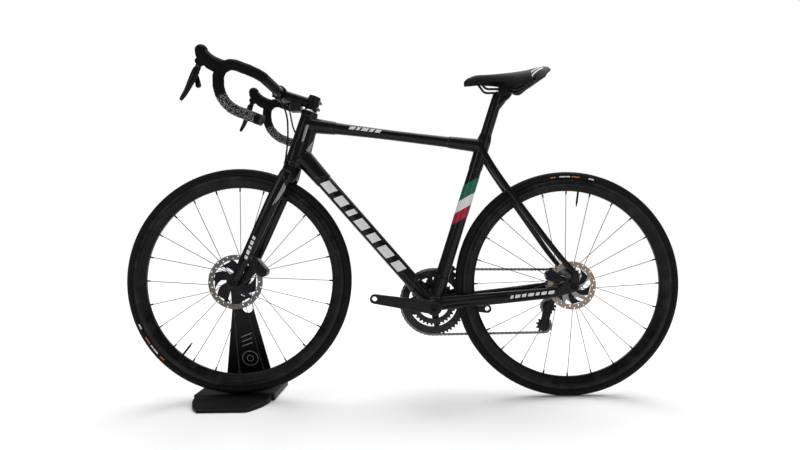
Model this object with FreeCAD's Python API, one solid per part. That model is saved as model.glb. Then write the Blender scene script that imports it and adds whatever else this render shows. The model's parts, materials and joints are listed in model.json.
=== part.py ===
import FreeCAD, Part
import math
import os

V = FreeCAD.Vector
os.makedirs("parts", exist_ok=True)

# A road bicycle with disc brakes, its front wheel standing on a display stand.
# Millimetres. The bicycle points along -X, +Y is its drive side, +Z is up.
# The origin is on the floor, midway between the axles.

# Wheels
WHEELBASE = 985.0
WHEEL_R = 337.0
TYRE_R = 13.0
TYRE_WALL = 2.2
RIM_R = 315.0
RIM_NOSE_R = 279.0
SPOKES = 24
SPOKE_R = 0.9
SPOKE_LEAN = 48.0
SPOKE_STEP = 1.4
FLANGE_HALF = 2.5
FRONT_VALVE_AT = 232.0
REAR_VALVE_AT = 82.0
VALVE_LENGTH = 44.0

# Clearances
BODY_GAP = 0.3
RUNNING = 0.06
TYRE_GAP = 8.0

# Where the main axes are
STAND_TOP = 19.7
FRONT_LIFT = STAND_TOP + BODY_GAP
FRONT = V(-WHEELBASE / 2, 0, WHEEL_R + FRONT_LIFT)
REAR = V(WHEELBASE / 2, 0, WHEEL_R)
BB = V(90.0, 0, 280.0)
HEAD_ANGLE = 71.8
SEAT_ANGLE = 72.1
HEAD_REF = V(-279.0, 0, 855.0)
STEER_UP = V(math.cos(math.radians(HEAD_ANGLE)), 0, math.sin(math.radians(HEAD_ANGLE)))
SEAT_UP = V(math.cos(math.radians(SEAT_ANGLE)), 0, math.sin(math.radians(SEAT_ANGLE)))
Y = V(0, 1, 0)

# Hubs and axles
AXLE_R = 6.0
FRONT_DROPOUT = 50.0
REAR_DROPOUT = 71.0
DROPOUT_THICK = 8.0
FRONT_FLANGES = (-25.0, 30.0)
REAR_FLANGES = (-34.0, 19.0)
FLANGE_R = 21.0
ROTOR_THICK = 1.8
FRONT_ROTOR_R = 80.0
FRONT_ROTOR_Y = -35.8
REAR_ROTOR_R = 70.0
REAR_ROTOR_Y = -54.0
ROTOR_BAND = 15.0
ROTOR_MOUNT_R = 15.0
PAD_GAP = 0.35
PAD_THICK = 1.15

# Head tube, fork and steering
HEAD_BOTTOM = -165.0
HEAD_TOP = 8.0
HEAD_TOP_R = 23.0
HEAD_BOTTOM_R = 27.0
BEARING_H = 7.5
STEERER_R = 14.3
STEERER_BASE_R = 17.0
STEM_BOTTOM = 14.0
STEM_TOP = 54.0
STEM_LENGTH = 100.0
BAR_CLAMP_R = 15.9
BAR_R = 12.0
TAPE_R = 14.5
TAPE_FROM = -62.0
HOSE_R = 2.5
HOOD_KNOB_R = 16.5
BAR_HALF = 203.0
BAR_RISE = 21.0
BAR_BENDS = (38.0, 35.0, 86.0)
LEVER_TRAVEL_SLOT = 4.0

# Drive
CRANK_LENGTH = 172.5
CRANK_UP = 9.2
SPIDER_AT = (35.0, 107.0, 215.0, 287.0)
CHAIN_PITCH = 12.7
CHAIN_Y = 43.5
CHAIN_HALF = 2.75
CHAIN_INNER = 1.15
CHAIN_HIGH = 4.0
PIN_R = 2.0
TOOTH_THICK = 1.6
TOOTH_TIP = 2.6
TOOTH_ROOT = 3.2
RING_TEETH = 50
SMALL_RING_TEETH = 34
RING_STEP = 7.0
COGS = (11, 12, 13, 14, 15, 17, 19, 21, 23, 25, 28)
COG_IN_USE = 19
COG_STEP = 3.9
PULLEY_TEETH = 11
GUIDE = V(447.0, 0, 262.0)
TENSION = V(432.0, 0, 204.0)
SPINDLE_R = 12.0
SHELL_HALF = 34.0
SHELL_R = 23.0
CUP_END = 40.6

# Seat
SEATPOST_R = 15.6
SEAT_TUBE_TOP = 517.0
SEATPOST_BOTTOM = 380.0
SEATPOST_TOP = 640.0
RAIL_Y = 22.0
RAIL_R = 3.5

# Stand
STAND_MIDDLE = FRONT.x - 15.0
TRAY_HALF = 120.0
TRAY_NEAR = -12.0
TRAY_FAR = 150.0
LIP_Y = -110.0
LIP_Z = 8.0
UPRIGHT_THICK = 4.0


def save(shape, name):
    shape.exportStep("parts/" + name + ".step")


def rod(a, b, r):
    return Part.makeCylinder(r, (b - a).Length, a, b - a)


def cone(a, b, ra, rb):
    return Part.makeCone(ra, rb, (b - a).Length, a, b - a)


def ring(a, b, outer, inner):
    return rod(a, b, outer).cut(rod(a - (b - a), b + (b - a), inner))


def across(centre, y0, y1, r):
    """Cylinder along Y about a point of the mid-plane."""
    return rod(V(centre.x, y0, centre.z), V(centre.x, y1, centre.z), r)


def across_ring(centre, y0, y1, outer, inner):
    return across(centre, y0, y1, outer).cut(across(centre, y0 - 1, y1 + 1, inner))


def box(x0, x1, y0, y1, z0, z1):
    return Part.makeBox(x1 - x0, y1 - y0, z1 - z0, V(x0, y0, z0))


def mirrored(shape):
    return shape.mirror(V(0, 0, 0), Y)


def polar(centre, radius, degrees, y=0.0):
    a = math.radians(degrees)
    return V(centre.x + radius * math.cos(a), y, centre.z + radius * math.sin(a))


def on_steer(s, y=0.0):
    p = HEAD_REF + STEER_UP * s
    return V(p.x, y, p.z)


def on_seat(s):
    return BB + SEAT_UP * s


def lathe(centre, profile):
    """Turn a closed (radius, y) outline about the Y axis through centre."""
    points = [V(centre.x + r, y, centre.z) for r, y in profile]
    face = Part.Face(Part.makePolygon(points + points[:1]))
    return face.revolve(centre, Y, 360)


def oval(centre, u, w, a, b):
    """Closed smooth oval with half sizes a along u and b along w."""
    points = []
    for k in range(12):
        t = 2 * math.pi * k / 12
        points.append(centre + u * (a * math.cos(t)) + w * (b * math.sin(t)))
    curve = Part.BSplineCurve()
    curve.interpolate(points, PeriodicFlag=True)
    return Part.Wire(curve.toShape())


def moulded(sections, ruled=False):
    """Loft of ovals square to the path through (x, y, z, half_y, half_across)."""
    wires = []
    last = len(sections) - 1
    for k, (x, y, z, half_y, half_across) in enumerate(sections):
        before = sections[max(k - 1, 0)]
        after = sections[min(k + 1, last)]
        along = V(after[0] - before[0], 0, after[2] - before[2]).normalize()
        wires.append(oval(V(x, y, z), Y, along.cross(Y), half_y, half_across))
    return Part.makeLoft(wires, True, ruled)


def slab(p, q, rp, rq, y0, y1):
    """Plate whose outline wraps two circles in the XZ plane."""
    line = V(q.x - p.x, 0, q.z - p.z)
    heading = math.atan2(line.z, line.x)
    spread = math.acos((rp - rq) / line.Length)

    def at(c, r, angle):
        return V(c.x + r * math.cos(angle), y0, c.z + r * math.sin(angle))

    p_left = at(p, rp, heading + spread)
    p_right = at(p, rp, heading - spread)
    q_left = at(q, rq, heading + spread)
    q_right = at(q, rq, heading - spread)
    edges = [
        Part.Arc(p_left, at(p, rp, heading + math.pi), p_right).toShape(),
        Part.LineSegment(p_right, q_right).toShape(),
        Part.Arc(q_right, at(q, rq, heading), q_left).toShape(),
        Part.LineSegment(q_left, p_left).toShape(),
    ]
    return Part.Face(Part.Wire(edges)).extrude(V(0, y1 - y0, 0))


def filleted_path(corners, radii):
    """Straight runs between corners, joined by tangent arcs of the given radii."""
    edges = []
    start = corners[0]
    for k in range(1, len(corners) - 1):
        corner = corners[k]
        back = (corners[k - 1] - corner).normalize()
        ahead = (corners[k + 1] - corner).normalize()
        half = back.getAngle(ahead) / 2
        reach = radii[k - 1] / math.tan(half)
        first = corner + back * reach
        second = corner + ahead * reach
        inward = (back + ahead).normalize()
        middle = corner + inward * (radii[k - 1] / math.sin(half) - radii[k - 1])
        edges.append(Part.LineSegment(start, first).toShape())
        edges.append(Part.Arc(first, middle, second).toShape())
        start = second
    edges.append(Part.LineSegment(start, corners[-1]).toShape())
    return Part.Wire(edges)


def even_radii(corners):
    """The widest arcs that two neighbouring corners can share."""
    radii = []
    for k in range(1, len(corners) - 1):
        back = corners[k - 1] - corners[k]
        ahead = corners[k + 1] - corners[k]
        half_turn = (math.pi - back.getAngle(ahead)) / 2
        radii.append(0.45 * min(back.Length, ahead.Length) / math.tan(half_turn))
    return radii


def bent_rod(corners, radii, r):
    path = filleted_path(corners, radii)
    circle = Part.Wire(Part.makeCircle(r, corners[0], corners[1] - corners[0]))
    return path.makePipeShell([circle], True, False)


def pitch_radius(teeth):
    return CHAIN_PITCH / (2 * math.sin(math.pi / teeth))


def toothed_plate(centre, teeth, y_middle, inner):
    """Sprocket plate for the chain, with a round hole."""
    pitch = pitch_radius(teeth)
    outline = []
    y0 = y_middle - TOOTH_THICK / 2
    tooth = ((-0.36, -TOOTH_ROOT), (-0.13, TOOTH_TIP), (0.13, TOOTH_TIP), (0.36, -TOOTH_ROOT))
    for k in range(teeth):
        for share, rise in tooth:
            outline.append(polar(centre, pitch + rise, 360.0 * (k + share) / teeth, y0))
    plate = Part.Face(Part.makePolygon(outline + outline[:1])).extrude(V(0, TOOTH_THICK, 0))
    return plate.cut(across(centre, y_middle - TOOTH_THICK, y_middle + TOOTH_THICK, inner))


# ---------------------------------------------------------------- wheels

def rim(centre):
    return lathe(centre, [
        (RIM_R, -12), (RIM_R, 12), (300, 13), (287, 8.5), (RIM_NOSE_R, 3.5),
        (RIM_NOSE_R, -3.5), (287, -8.5), (300, -13),
    ])


def tyre(centre):
    bead = WHEEL_R - TYRE_R
    outer = Part.makeTorus(bead, TYRE_R, centre, Y)
    inner = Part.makeTorus(bead, TYRE_R - TYRE_WALL, centre, Y)
    well = across(centre, -TYRE_R - 1, TYRE_R + 1, RIM_R)
    return outer.cut(inner).cut(well)


def front_hub():
    bore = AXLE_R + RUNNING
    left, right = FRONT_FLANGES
    end = FRONT_DROPOUT - BODY_GAP
    return lathe(FRONT, [
        (bore, -end), (10, -end), (10, -40), (ROTOR_MOUNT_R, -40), (ROTOR_MOUNT_R, -30),
        (12, -30), (12, left - FLANGE_HALF), (FLANGE_R, left - FLANGE_HALF),
        (FLANGE_R, left + FLANGE_HALF), (11, left + FLANGE_HALF + 2),
        (11, right - FLANGE_HALF - 2), (FLANGE_R, right - FLANGE_HALF),
        (FLANGE_R, right + FLANGE_HALF), (10, right + FLANGE_HALF), (10, end), (bore, end),
    ])


def rear_hub():
    bore = AXLE_R + RUNNING
    left, right = REAR_FLANGES
    end = REAR_DROPOUT - BODY_GAP
    return lathe(REAR, [
        (bore, -end), (10, -end), (10, -58), (ROTOR_MOUNT_R, -58), (ROTOR_MOUNT_R, -48),
        (13, -48), (13, left - FLANGE_HALF), (FLANGE_R, left - FLANGE_HALF),
        (FLANGE_R, left + FLANGE_HALF), (13, left + FLANGE_HALF + 2),
        (13, right - FLANGE_HALF - 2), (FLANGE_R, right - FLANGE_HALF),
        (FLANGE_R, right + FLANGE_HALF), (bore, right + FLANGE_HALF),
    ])


def spokes(centre, flanges, valve_at, hub, rim_shape):
    """Crossed spokes, alternately from the two flanges and leaning both ways."""
    rods = []
    for k in range(SPOKES):
        at_rim = valve_at + 360.0 * (k + 0.5) / SPOKES
        flange = flanges[k % 2]
        lean = 1 if (k // 2) % 2 == 0 else -1
        start = polar(centre, FLANGE_R - 3, at_rim + lean * SPOKE_LEAN, flange + lean * SPOKE_STEP)
        finish = polar(centre, RIM_NOSE_R + 3, at_rim)
        rods.append(rod(start, finish, SPOKE_R).cut(hub).cut(rim_shape))
    return Part.makeCompound(rods)


def valve(centre, valve_at, rim_shape):
    inner = polar(centre, RIM_NOSE_R - VALVE_LENGTH, valve_at)
    collar = polar(centre, RIM_NOSE_R - VALVE_LENGTH + 9, valve_at)
    seat = polar(centre, RIM_NOSE_R + 3, valve_at)
    return rod(inner, collar, 2.0).fuse(rod(collar, seat, 3.0)).cut(rim_shape)


def rotor(centre, y, radius):
    """Brake band, five swept arms and the ring that fits the hub."""
    y0 = y - ROTOR_THICK / 2
    y1 = y + ROTOR_THICK / 2
    band_inner = radius - ROTOR_BAND
    disc = across_ring(centre, y0, y1, radius, band_inner)
    for k in range(30):
        hole = polar(centre, radius - (4.0 if k % 2 else 10.0), k * 12.0)
        disc = disc.cut(across(hole, y0 - 1, y1 + 1, 2.2))
    disc = disc.fuse(across_ring(centre, y0, y1, 27, ROTOR_MOUNT_R))
    for k in range(5):
        foot = polar(centre, 23, k * 72.0)
        tip = polar(centre, band_inner + 3, k * 72.0 + 28.0)
        disc = disc.fuse(slab(foot, tip, 7.5, 5.0, y0, y1))
    return disc.removeSplitter()


def make_wheel(name, centre, hub, flanges, valve_at):
    rim_shape = rim(centre)
    save(hub, name + "_hub")
    save(rim_shape.fuse(valve(centre, valve_at, rim_shape)), name + "_rim")
    save(tyre(centre), name + "_tyre")
    save(spokes(centre, flanges, valve_at, hub, rim_shape), name + "_spokes")


# ---------------------------------------------------------------- brakes

def caliper(centre, rotor_y, rotor_r, upper, lower, y0, y1):
    """Brake body that straddles the edge of the rotor."""
    block = slab(upper, lower, 16, 14, y0, y1)
    slot = across(centre, rotor_y - ROTOR_THICK / 2 - PAD_GAP - PAD_THICK,
                  rotor_y + ROTOR_THICK / 2 + PAD_GAP + PAD_THICK, rotor_r + 2)
    hoses = rod(V(upper.x, y0 + 7, upper.z), V(upper.x, y0 + 7, upper.z) + V(0, 0, 22), 5)
    bolts = across(upper, y0 - 2, y0, 5).fuse(across(lower, y0 - 2, y0, 5))
    return block.fuse(hoses).fuse(bolts).cut(slot)


def brake_pads(centre, rotor_y, rotor_r, upper, lower):
    """Two pads, one on each side of the band, held in the caliper's slot."""
    pads = []
    for side in (-1, 1):
        near = rotor_y + side * (ROTOR_THICK / 2 + PAD_GAP)
        far = near + side * PAD_THICK
        y0, y1 = min(near, far), max(near, far)
        pad = slab(upper, lower, 11, 10, y0, y1)
        pad = pad.common(across_ring(centre, y0 - 1, y1 + 1, rotor_r, rotor_r - ROTOR_BAND))
        pads.append(pad)
    return pads


# ---------------------------------------------------------------- frame

def head_tube_outside():
    return cone(on_steer(HEAD_BOTTOM), on_steer(HEAD_TOP), HEAD_BOTTOM_R, HEAD_TOP_R)


def head_tube():
    tube = head_tube_outside()
    tube = tube.cut(rod(on_steer(HEAD_BOTTOM - 1), on_steer(HEAD_TOP + 1), STEERER_R + 1))
    tube = tube.cut(rod(on_steer(HEAD_BOTTOM - 1), on_steer(HEAD_BOTTOM + 20), STEERER_BASE_R + 1))
    tube = tube.cut(rod(on_steer(HEAD_TOP - BEARING_H), on_steer(HEAD_TOP + 1), 20.5))
    return tube.cut(rod(on_steer(HEAD_BOTTOM - 1), on_steer(HEAD_BOTTOM + BEARING_H), 23.5))


def headset_bearings():
    upper = ring(on_steer(HEAD_TOP - BEARING_H), on_steer(HEAD_TOP), 20.5, STEERER_R + RUNNING)
    low, high = on_steer(HEAD_BOTTOM), on_steer(HEAD_BOTTOM + BEARING_H)
    return Part.makeCompound([upper, ring(low, high, 23.5, STEERER_BASE_R + RUNNING)])


def seat_tube_outside():
    return cone(BB, on_seat(SEAT_TUBE_TOP), 21.0, 18.7)


def top_tube():
    tube = moulded([
        (-290, 0, 825.5, 20, 22), (-200, 0, 813.5, 17, 18), (100, 0, 773.5, 15.5, 16),
        (240, 0, 755, 16.5, 17.5),
    ])
    return tube.cut(head_tube_outside()).cut(seat_tube_outside())


def down_tube():
    tube = cone(V(-300, 0, 728.6), V(88, 0, 278), 23.5, 22.0)
    return tube.cut(head_tube_outside()).cut(across(BB, -60, 60, SHELL_R))


def seat_tube(down):
    tube = seat_tube_outside().cut(across(BB, -60, 60, SHELL_R)).cut(down)
    return tube.cut(rod(on_seat(SEATPOST_BOTTOM), on_seat(SEAT_TUBE_TOP + 5), SEATPOST_R))


def bottom_bracket_shell():
    return across_ring(BB, -SHELL_HALF, SHELL_HALF, SHELL_R, 18.0)


def bottom_bracket_cups():
    inside = across_ring(BB, 27, SHELL_HALF, 18.0, SPINDLE_R + RUNNING)
    outside = across_ring(BB, SHELL_HALF, CUP_END, 20.5, SPINDLE_R + RUNNING)
    cup = inside.fuse(outside)
    return Part.makeCompound([cup, mirrored(cup)])


def rear_dropout(side):
    y0 = REAR_DROPOUT
    y1 = REAR_DROPOUT + DROPOUT_THICK
    plate = slab(REAR, V(458, 0, 326), 15, 14, y0, y1)
    plate = plate.fuse(slab(REAR, V(499, 0, 374), 15, 8, y0, y1))
    plate = plate.cut(across(REAR, y0 - 1, y1 + 1, AXLE_R))
    return plate if side > 0 else mirrored(plate)


def chainstay(side):
    stay = moulded([
        (102, 24, 284, 8.5, 20), (165, 26, 290, 7.5, 18.5), (205, 30, 294, 7.5, 17.5),
        (300, 42, 303, 8.5, 16.5), (380, 54, 311, 8, 15.5), (425, 65.5, 317, 7, 14.5),
        (470, 75, 328, 4, 12),
    ])
    if side < 0:
        stay = mirrored(stay)
    return stay.cut(across(BB, -60, 60, SHELL_R)).cut(seat_tube_outside())


def seatstay(side, dropout, blockers):
    stay = moulded([
        (236, 13, 752, 9, 12), (292, 25, 655, 8.5, 10), (360, 38, 558, 8, 9),
        (422, 51, 470, 8, 8.5), (499, 72.5, 374, 5.5, 7.5),
    ])
    if side < 0:
        stay = mirrored(stay)
    stay = stay.cut(dropout)
    for blocker in blockers:
        stay = stay.cut(blocker)
    return stay


def derailleur_hanger():
    y0 = REAR_DROPOUT + DROPOUT_THICK
    plate = slab(REAR, V(502, 0, 307), 12, 9, y0, y0 + 4)
    return plate.cut(across(REAR, y0 - 1, y0 + 5, AXLE_R))


def thru_axle(centre, half, head):
    """Axle with a conical head on the near side."""
    shaft = across(centre, -half, half, AXLE_R)
    flange = across(centre, -half - head, -half, 9)
    key_hole = across(centre, -half - head - 1, -half - 2, 3)
    return shaft.fuse(flange).cut(key_hole)


# ---------------------------------------------------------------- seat

def seatpost():
    post = rod(on_seat(SEATPOST_BOTTOM), on_seat(SEATPOST_TOP), SEATPOST_R)
    neck = slab(V(293, 0, 895), V(322, 0, 909), 16, 10, -15, 15)
    cradle = box(290, 334, -28, 28, 908, 922)
    post = post.fuse(neck).fuse(cradle)
    return post.cut(saddle_rail(RAIL_Y)).cut(saddle_rail(-RAIL_Y))


def seat_collar():
    collar = ring(on_seat(SEAT_TUBE_TOP), on_seat(SEAT_TUBE_TOP + 15), 20.5, SEATPOST_R)
    bolt_at = on_seat(SEAT_TUBE_TOP + 7.5) + V(22, 0, -3)
    ear = rod(bolt_at - Y * 9, bolt_at + Y * 9, 5)
    post = rod(on_seat(SEAT_TUBE_TOP - 30), on_seat(SEAT_TUBE_TOP + 60), SEATPOST_R)
    return collar.fuse(ear).cut(post).cut(seat_tube_outside())


def saddle_rail(y):
    corners = [V(232, y * 0.7, 950), V(254, y, 922), V(352, y, 922), V(404, y, 952)]
    return bent_rod(corners, [18, 30], RAIL_R)


def saddle_pad():
    """Closed pad: nose at low X, wings spreading towards the tail, a flap under each wing."""
    wires = []
    for x, half, mid, high in (
        (190, 9, 949, 7), (200, 16, 953, 11), (230, 21, 957, 14), (280, 25, 960, 15),
        (325, 40, 962, 15.5), (370, 62, 965, 16), (405, 69, 970, 16.5), (432, 56, 975, 14),
        (446, 34, 979, 8),
    ):
        wires.append(oval(V(x, 0, mid), Y, V(0, 0, 1), half, high))
    flap = saddle_flap()
    return Part.makeLoft(wires, True, False).fuse(flap).fuse(mirrored(flap))


def saddle_flap():
    """Side of the cover that hangs beside the rails, below a rear wing."""
    return moulded([
        (330, 41, 953, 4, 8), (350, 46, 946, 6.5, 20), (370, 54, 946, 6.5, 20),
        (392, 60, 954, 7, 15), (412, 61, 963, 7, 9),
    ])


def saddle_rails(pad):
    rails = [saddle_rail(side * RAIL_Y).cut(pad) for side in (-1, 1)]
    return Part.makeCompound(rails)


def saddle_clamp():
    plate = box(290, 334, -28, 28, 922, 929)
    for side in (-1, 1):
        plate = plate.cut(saddle_rail(side * RAIL_Y))
    bolts = rod(V(298, 0, 929), V(298, 0, 934), 4).fuse(rod(V(326, 0, 929), V(326, 0, 934), 4))
    return plate.fuse(bolts)


# ---------------------------------------------------------------- fork and cockpit

def steerer():
    tube = ring(on_steer(HEAD_BOTTOM - 1), on_steer(STEM_TOP), STEERER_R, 11)
    base = ring(on_steer(HEAD_BOTTOM - 1), on_steer(HEAD_BOTTOM + 14), STEERER_BASE_R, 11)
    return tube.fuse(base)


def fork_leg(side):
    leg = moulded([
        (-338, 29, 682, 10, 19), (-362, 36, 634, 11, 20.5), (-398, 43.5, 556, 10.5, 18.5),
        (-437, 50, 470, 9.5, 16.5), (-468, 55, 404, 8, 14), (-487, 57.5, 366, 7, 12.5),
    ])
    plate = across(FRONT, FRONT_DROPOUT, FRONT_DROPOUT + 14, 14)
    leg = leg.fuse(plate).cut(across(FRONT, 0, 90, AXLE_R))
    leg = leg.cut(across(FRONT, 0, FRONT_DROPOUT, 60))
    return leg if side > 0 else mirrored(leg)


def fork_crown(legs):
    wires = []
    square = STEER_UP.cross(Y)
    sections = ((HEAD_BOTTOM - BODY_GAP, 27, 27), (-182, 36, 27.5), (-200, 43, 27.5), (-214, 44, 24))
    for s, half_y, half_x in sections:
        wires.append(oval(on_steer(s), Y, square, half_y, half_x))
    crown = Part.makeLoft(wires, True, False)
    crown = crown.cut(across(FRONT, -21, 21, WHEEL_R + TYRE_GAP))
    for leg in legs:
        crown = crown.cut(leg)
    return max(crown.Solids, key=lambda s: s.Volume)


def bar_centre():
    forward = V(-math.sin(math.radians(HEAD_ANGLE)), 0, math.cos(math.radians(HEAD_ANGLE)))
    return on_steer((STEM_BOTTOM + STEM_TOP) / 2) + forward * STEM_LENGTH


def bar_corners(first_y):
    """Left half of the bar's centre line: top, ramp, hook and drop."""
    middle = bar_centre()
    rise = math.tan(math.radians(BAR_RISE))
    front_x = middle.x - 107
    corner_z = middle.z + 107 * rise
    return [
        V(middle.x, first_y, middle.z),
        V(middle.x, -BAR_HALF, middle.z),
        V(front_x, -BAR_HALF - 2, corner_z),
        V(front_x, -BAR_HALF - 5, corner_z - 119),
        V(front_x + 112, -BAR_HALF - 7, corner_z - 164),
    ]


def bar_half():
    return bent_rod(bar_corners(0), BAR_BENDS, BAR_R)


def handlebar():
    middle = bar_centre()
    left = bar_half()
    bar = left.fuse(mirrored(left)).fuse(across(middle, -34, 34, BAR_CLAMP_R))
    for side in (-1, 1):
        start = V(middle.x, side * 34, middle.z)
        bar = bar.fuse(cone(start, V(middle.x, side * 56, middle.z), BAR_CLAMP_R, BAR_R))
    return bar


def tape_outside():
    return bent_rod(bar_corners(TAPE_FROM), BAR_BENDS, TAPE_R)


def bar_tape():
    """Tape wound on the left half of the bar, ending in a plug."""
    corners = bar_corners(TAPE_FROM)
    tape = tape_outside()
    end = corners[-1]
    along = (end - corners[-2]).normalize()
    return tape.cut(bar_half()), rod(end, end + along * 5, TAPE_R)


def stem_body():
    low = on_steer(STEM_BOTTOM)
    high = on_steer(STEM_TOP)
    middle = bar_centre()
    root = on_steer((STEM_BOTTOM + STEM_TOP) / 2)
    body = rod(low, high, 18.5).fuse(rod(root, middle, 15.0))
    return body.fuse(across(middle, -24, 24, 21.5))


def stem_split():
    """Block that covers everything ahead of the bar's centre."""
    middle = bar_centre()
    block = Part.makeBox(60, 80, 80, V(-60, -40, -40))
    block.rotate(V(0, 0, 0), Y, 90 - HEAD_ANGLE)
    block.translate(middle)
    return block


def stem(steering_tube, bar):
    body = stem_body().cut(stem_split())
    body = body.cut(rod(on_steer(0), on_steer(STEM_TOP + 30), STEERER_R)).cut(bar)
    ahead = V(math.sin(math.radians(HEAD_ANGLE)), 0, -math.cos(math.radians(HEAD_ANGLE)))
    for s in (24, 44):
        at = on_steer(s) + ahead * 20
        body = body.fuse(rod(at - Y * 11, at + Y * 11, 4.5))
    return body.cut(rod(on_steer(0), on_steer(STEM_TOP + 30), STEERER_R))


def stem_faceplate(bar):
    middle = bar_centre()
    plate = across(middle, -24, 24, 21.5).common(stem_split())
    return plate.cut(bar)


def stem_bolts():
    """Four bolt heads on the front of the faceplate."""
    middle = bar_centre()
    forward = V(-math.sin(math.radians(HEAD_ANGLE)), 0, math.cos(math.radians(HEAD_ANGLE)))
    plate = across(middle, -24, 24, 21.5)
    heads = []
    for up in (-1, 1):
        for y in (-16, 16):
            at = middle + STEER_UP * (up * 15) + V(0, y, 0)
            heads.append(rod(at + forward * 8, at + forward * 19, 3.2).cut(plate))
    return heads


def headset_cover():
    low = on_steer(HEAD_TOP + BODY_GAP)
    high = on_steer(STEM_BOTTOM)
    return cone(low, high, 22.5, 18.5).cut(rod(on_steer(0), on_steer(30), STEERER_R))


def junction_box(stem_shape):
    block = box(-334, -302, -14, 14, 865, 892)
    return block.cut(stem_shape.fuse(stem_body()))


def hood(wrapped_bar):
    """Lever body on the left drop: grip, knob and the slot for the lever."""
    y = -BAR_HALF - 2.5
    body = moulded([
        (-458, y, 936, 15, 19.5), (-480, y, 945, 15.5, 19.5), (-500, y, 958, 15.5, 19),
        (-512, y, 972, 15, 18), (-518, y, 986, 11, 12.5),
    ])
    knob = Part.makeSphere(HOOD_KNOB_R, V(-514.5, y, 981))
    wrap = rod(V(-471, y, 924), V(-471, y - 1, 905), 18)
    body = body.fuse(knob).fuse(wrap)
    pivot = lever_pivot()
    body = body.fuse(rod(V(pivot.x, y - 10, pivot.z), V(pivot.x, y + 10, pivot.z), 9.5))
    slot = box(pivot.x - 40, pivot.x + 15, y - LEVER_TRAVEL_SLOT, y + LEVER_TRAVEL_SLOT, 900, pivot.z + 10)
    body = body.cut(slot)
    body = body.cut(rod(V(pivot.x, y - 30, pivot.z), V(pivot.x, y + 30, pivot.z), 2.5))
    body = body.cut(wrapped_bar)
    return max(body.Solids, key=lambda s: s.Volume)


def lever_pivot():
    return V(-519, -BAR_HALF - 2.5, 952)


def lever_pin():
    p = lever_pivot()
    return rod(V(p.x, p.y - 10, p.z), V(p.x, p.y + 10, p.z), 2.5)


def brake_lever():
    """Eye in the hood's slot, then a blade that curves down to its tip."""
    p = lever_pivot()
    neck = slab(p, V(-525, 0, 934), 6.5, 7, p.y - 3.6, p.y + 3.6)
    blade = moulded([
        (-526, p.y, 937, 3.6, 8.5), (-530.5, p.y - 1, 924, 7, 10), (-537, p.y - 3, 907, 7.5, 9.5),
        (-544, p.y - 5, 890, 7, 8), (-552, p.y - 7, 872, 6, 6.5), (-562, p.y - 8.5, 855, 5, 5),
        (-565.5, p.y - 9, 849, 3, 3.5),
    ])
    lever = neck.fuse(blade)
    lever = lever.cut(across(V(p.x, 0, p.z), p.y - 20, p.y + 20, 2.5 + RUNNING))
    guide = shift_guide()
    return lever.cut(across(guide, p.y - 30, p.y + 30, 1.6 + RUNNING))


def shift_guide():
    return V(-533.5, 0, 905.5)


def shift_paddle():
    """Paddle beside the blade; its pin slides through the blade."""
    p = lever_pivot()
    y0 = p.y + 7.5
    plate = slab(V(-531, 0, 914), V(-527, 0, 893), 6, 7.5, y0, y0 + 2.6)
    return plate.fuse(across(shift_guide(), p.y - 5, y0 + 1, 1.6))


def front_hose(blockers):
    """Hose from the bar tape to the left of the fork crown."""
    corners = [V(-358, -66, 905), V(-334, -44, 850), V(-335, -33, 775), V(-350, -27, 682)]
    return trimmed_hose(corners, blockers)


def rear_hose(blockers):
    """Hose from the bar tape to the right of the head tube."""
    corners = [V(-360, 66, 905), V(-345, 40, 856), V(-334, 22, 818), V(-314, 8, 786)]
    return trimmed_hose(corners, blockers)


def trimmed_hose(corners, blockers):
    hose = bent_rod(corners, even_radii(corners), HOSE_R)
    for blocker in blockers:
        hose = hose.cut(blocker)
    return max(hose.Solids, key=lambda s: s.Volume)


# ---------------------------------------------------------------- drive

def crank_arm(side):
    """Left arm points forward; the right one is its opposite."""
    turn = 180 - CRANK_UP if side < 0 else 360 - CRANK_UP
    pedal = polar(BB, CRANK_LENGTH, turn)
    arm = slab(BB, pedal, 18.5, 13.5, 66, 80)
    arm = arm.fuse(across(BB, CUP_END + 1, 66, 17))
    if side > 0:
        arm = arm.fuse(spider())
    arm = arm.cut(across(pedal, 60, 90, 7.1)).cut(across(BB, 0, 90, SPINDLE_R))
    return arm.removeSplitter() if side > 0 else mirrored(arm)


def spider():
    arms = across(BB, 46.6, 54, 26)
    for turn in SPIDER_AT:
        foot = polar(BB, 22, turn - CRANK_UP)
        tip = polar(BB, 80, turn - CRANK_UP)
        arms = arms.fuse(slab(foot, tip, 13, 8, 46.6, 51))
    return arms


def chainring_large():
    plate = toothed_plate(BB, RING_TEETH, CHAIN_Y, 76)
    rim_plate = across_ring(BB, CHAIN_Y - TOOTH_THICK / 2, 46.6, 94, 76)
    return plate.fuse(rim_plate)


def chainring_small():
    """Inner ring with the posts that hold it to the spider."""
    middle = CHAIN_Y - RING_STEP
    plate = toothed_plate(BB, SMALL_RING_TEETH, middle, 50)
    for turn in SPIDER_AT:
        plate = plate.fuse(across(polar(BB, 56, turn - CRANK_UP), middle, 46.6, 4.5))
    return plate


def cassette():
    """Sprockets on one sleeve, the largest next to the spokes."""
    index = COGS.index(COG_IN_USE)
    first = CHAIN_Y - index * -COG_STEP
    sleeve = across_ring(REAR, first - 10 * COG_STEP - 3, REAR_DROPOUT - BODY_GAP, 16.5, AXLE_R + RUNNING)
    body = sleeve
    for k, teeth in enumerate(COGS):
        body = body.fuse(toothed_plate(REAR, teeth, first - k * COG_STEP, 14))
    return body


def chain_stops():
    """Toothed wheels in the order that the chain meets them, with its turning sense."""
    pulley = pitch_radius(PULLEY_TEETH)
    return [
        (BB, pitch_radius(RING_TEETH), 1), (TENSION, pulley, 1), (GUIDE, pulley, -1),
        (REAR, pitch_radius(COG_IN_USE), 1),
    ]


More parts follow.
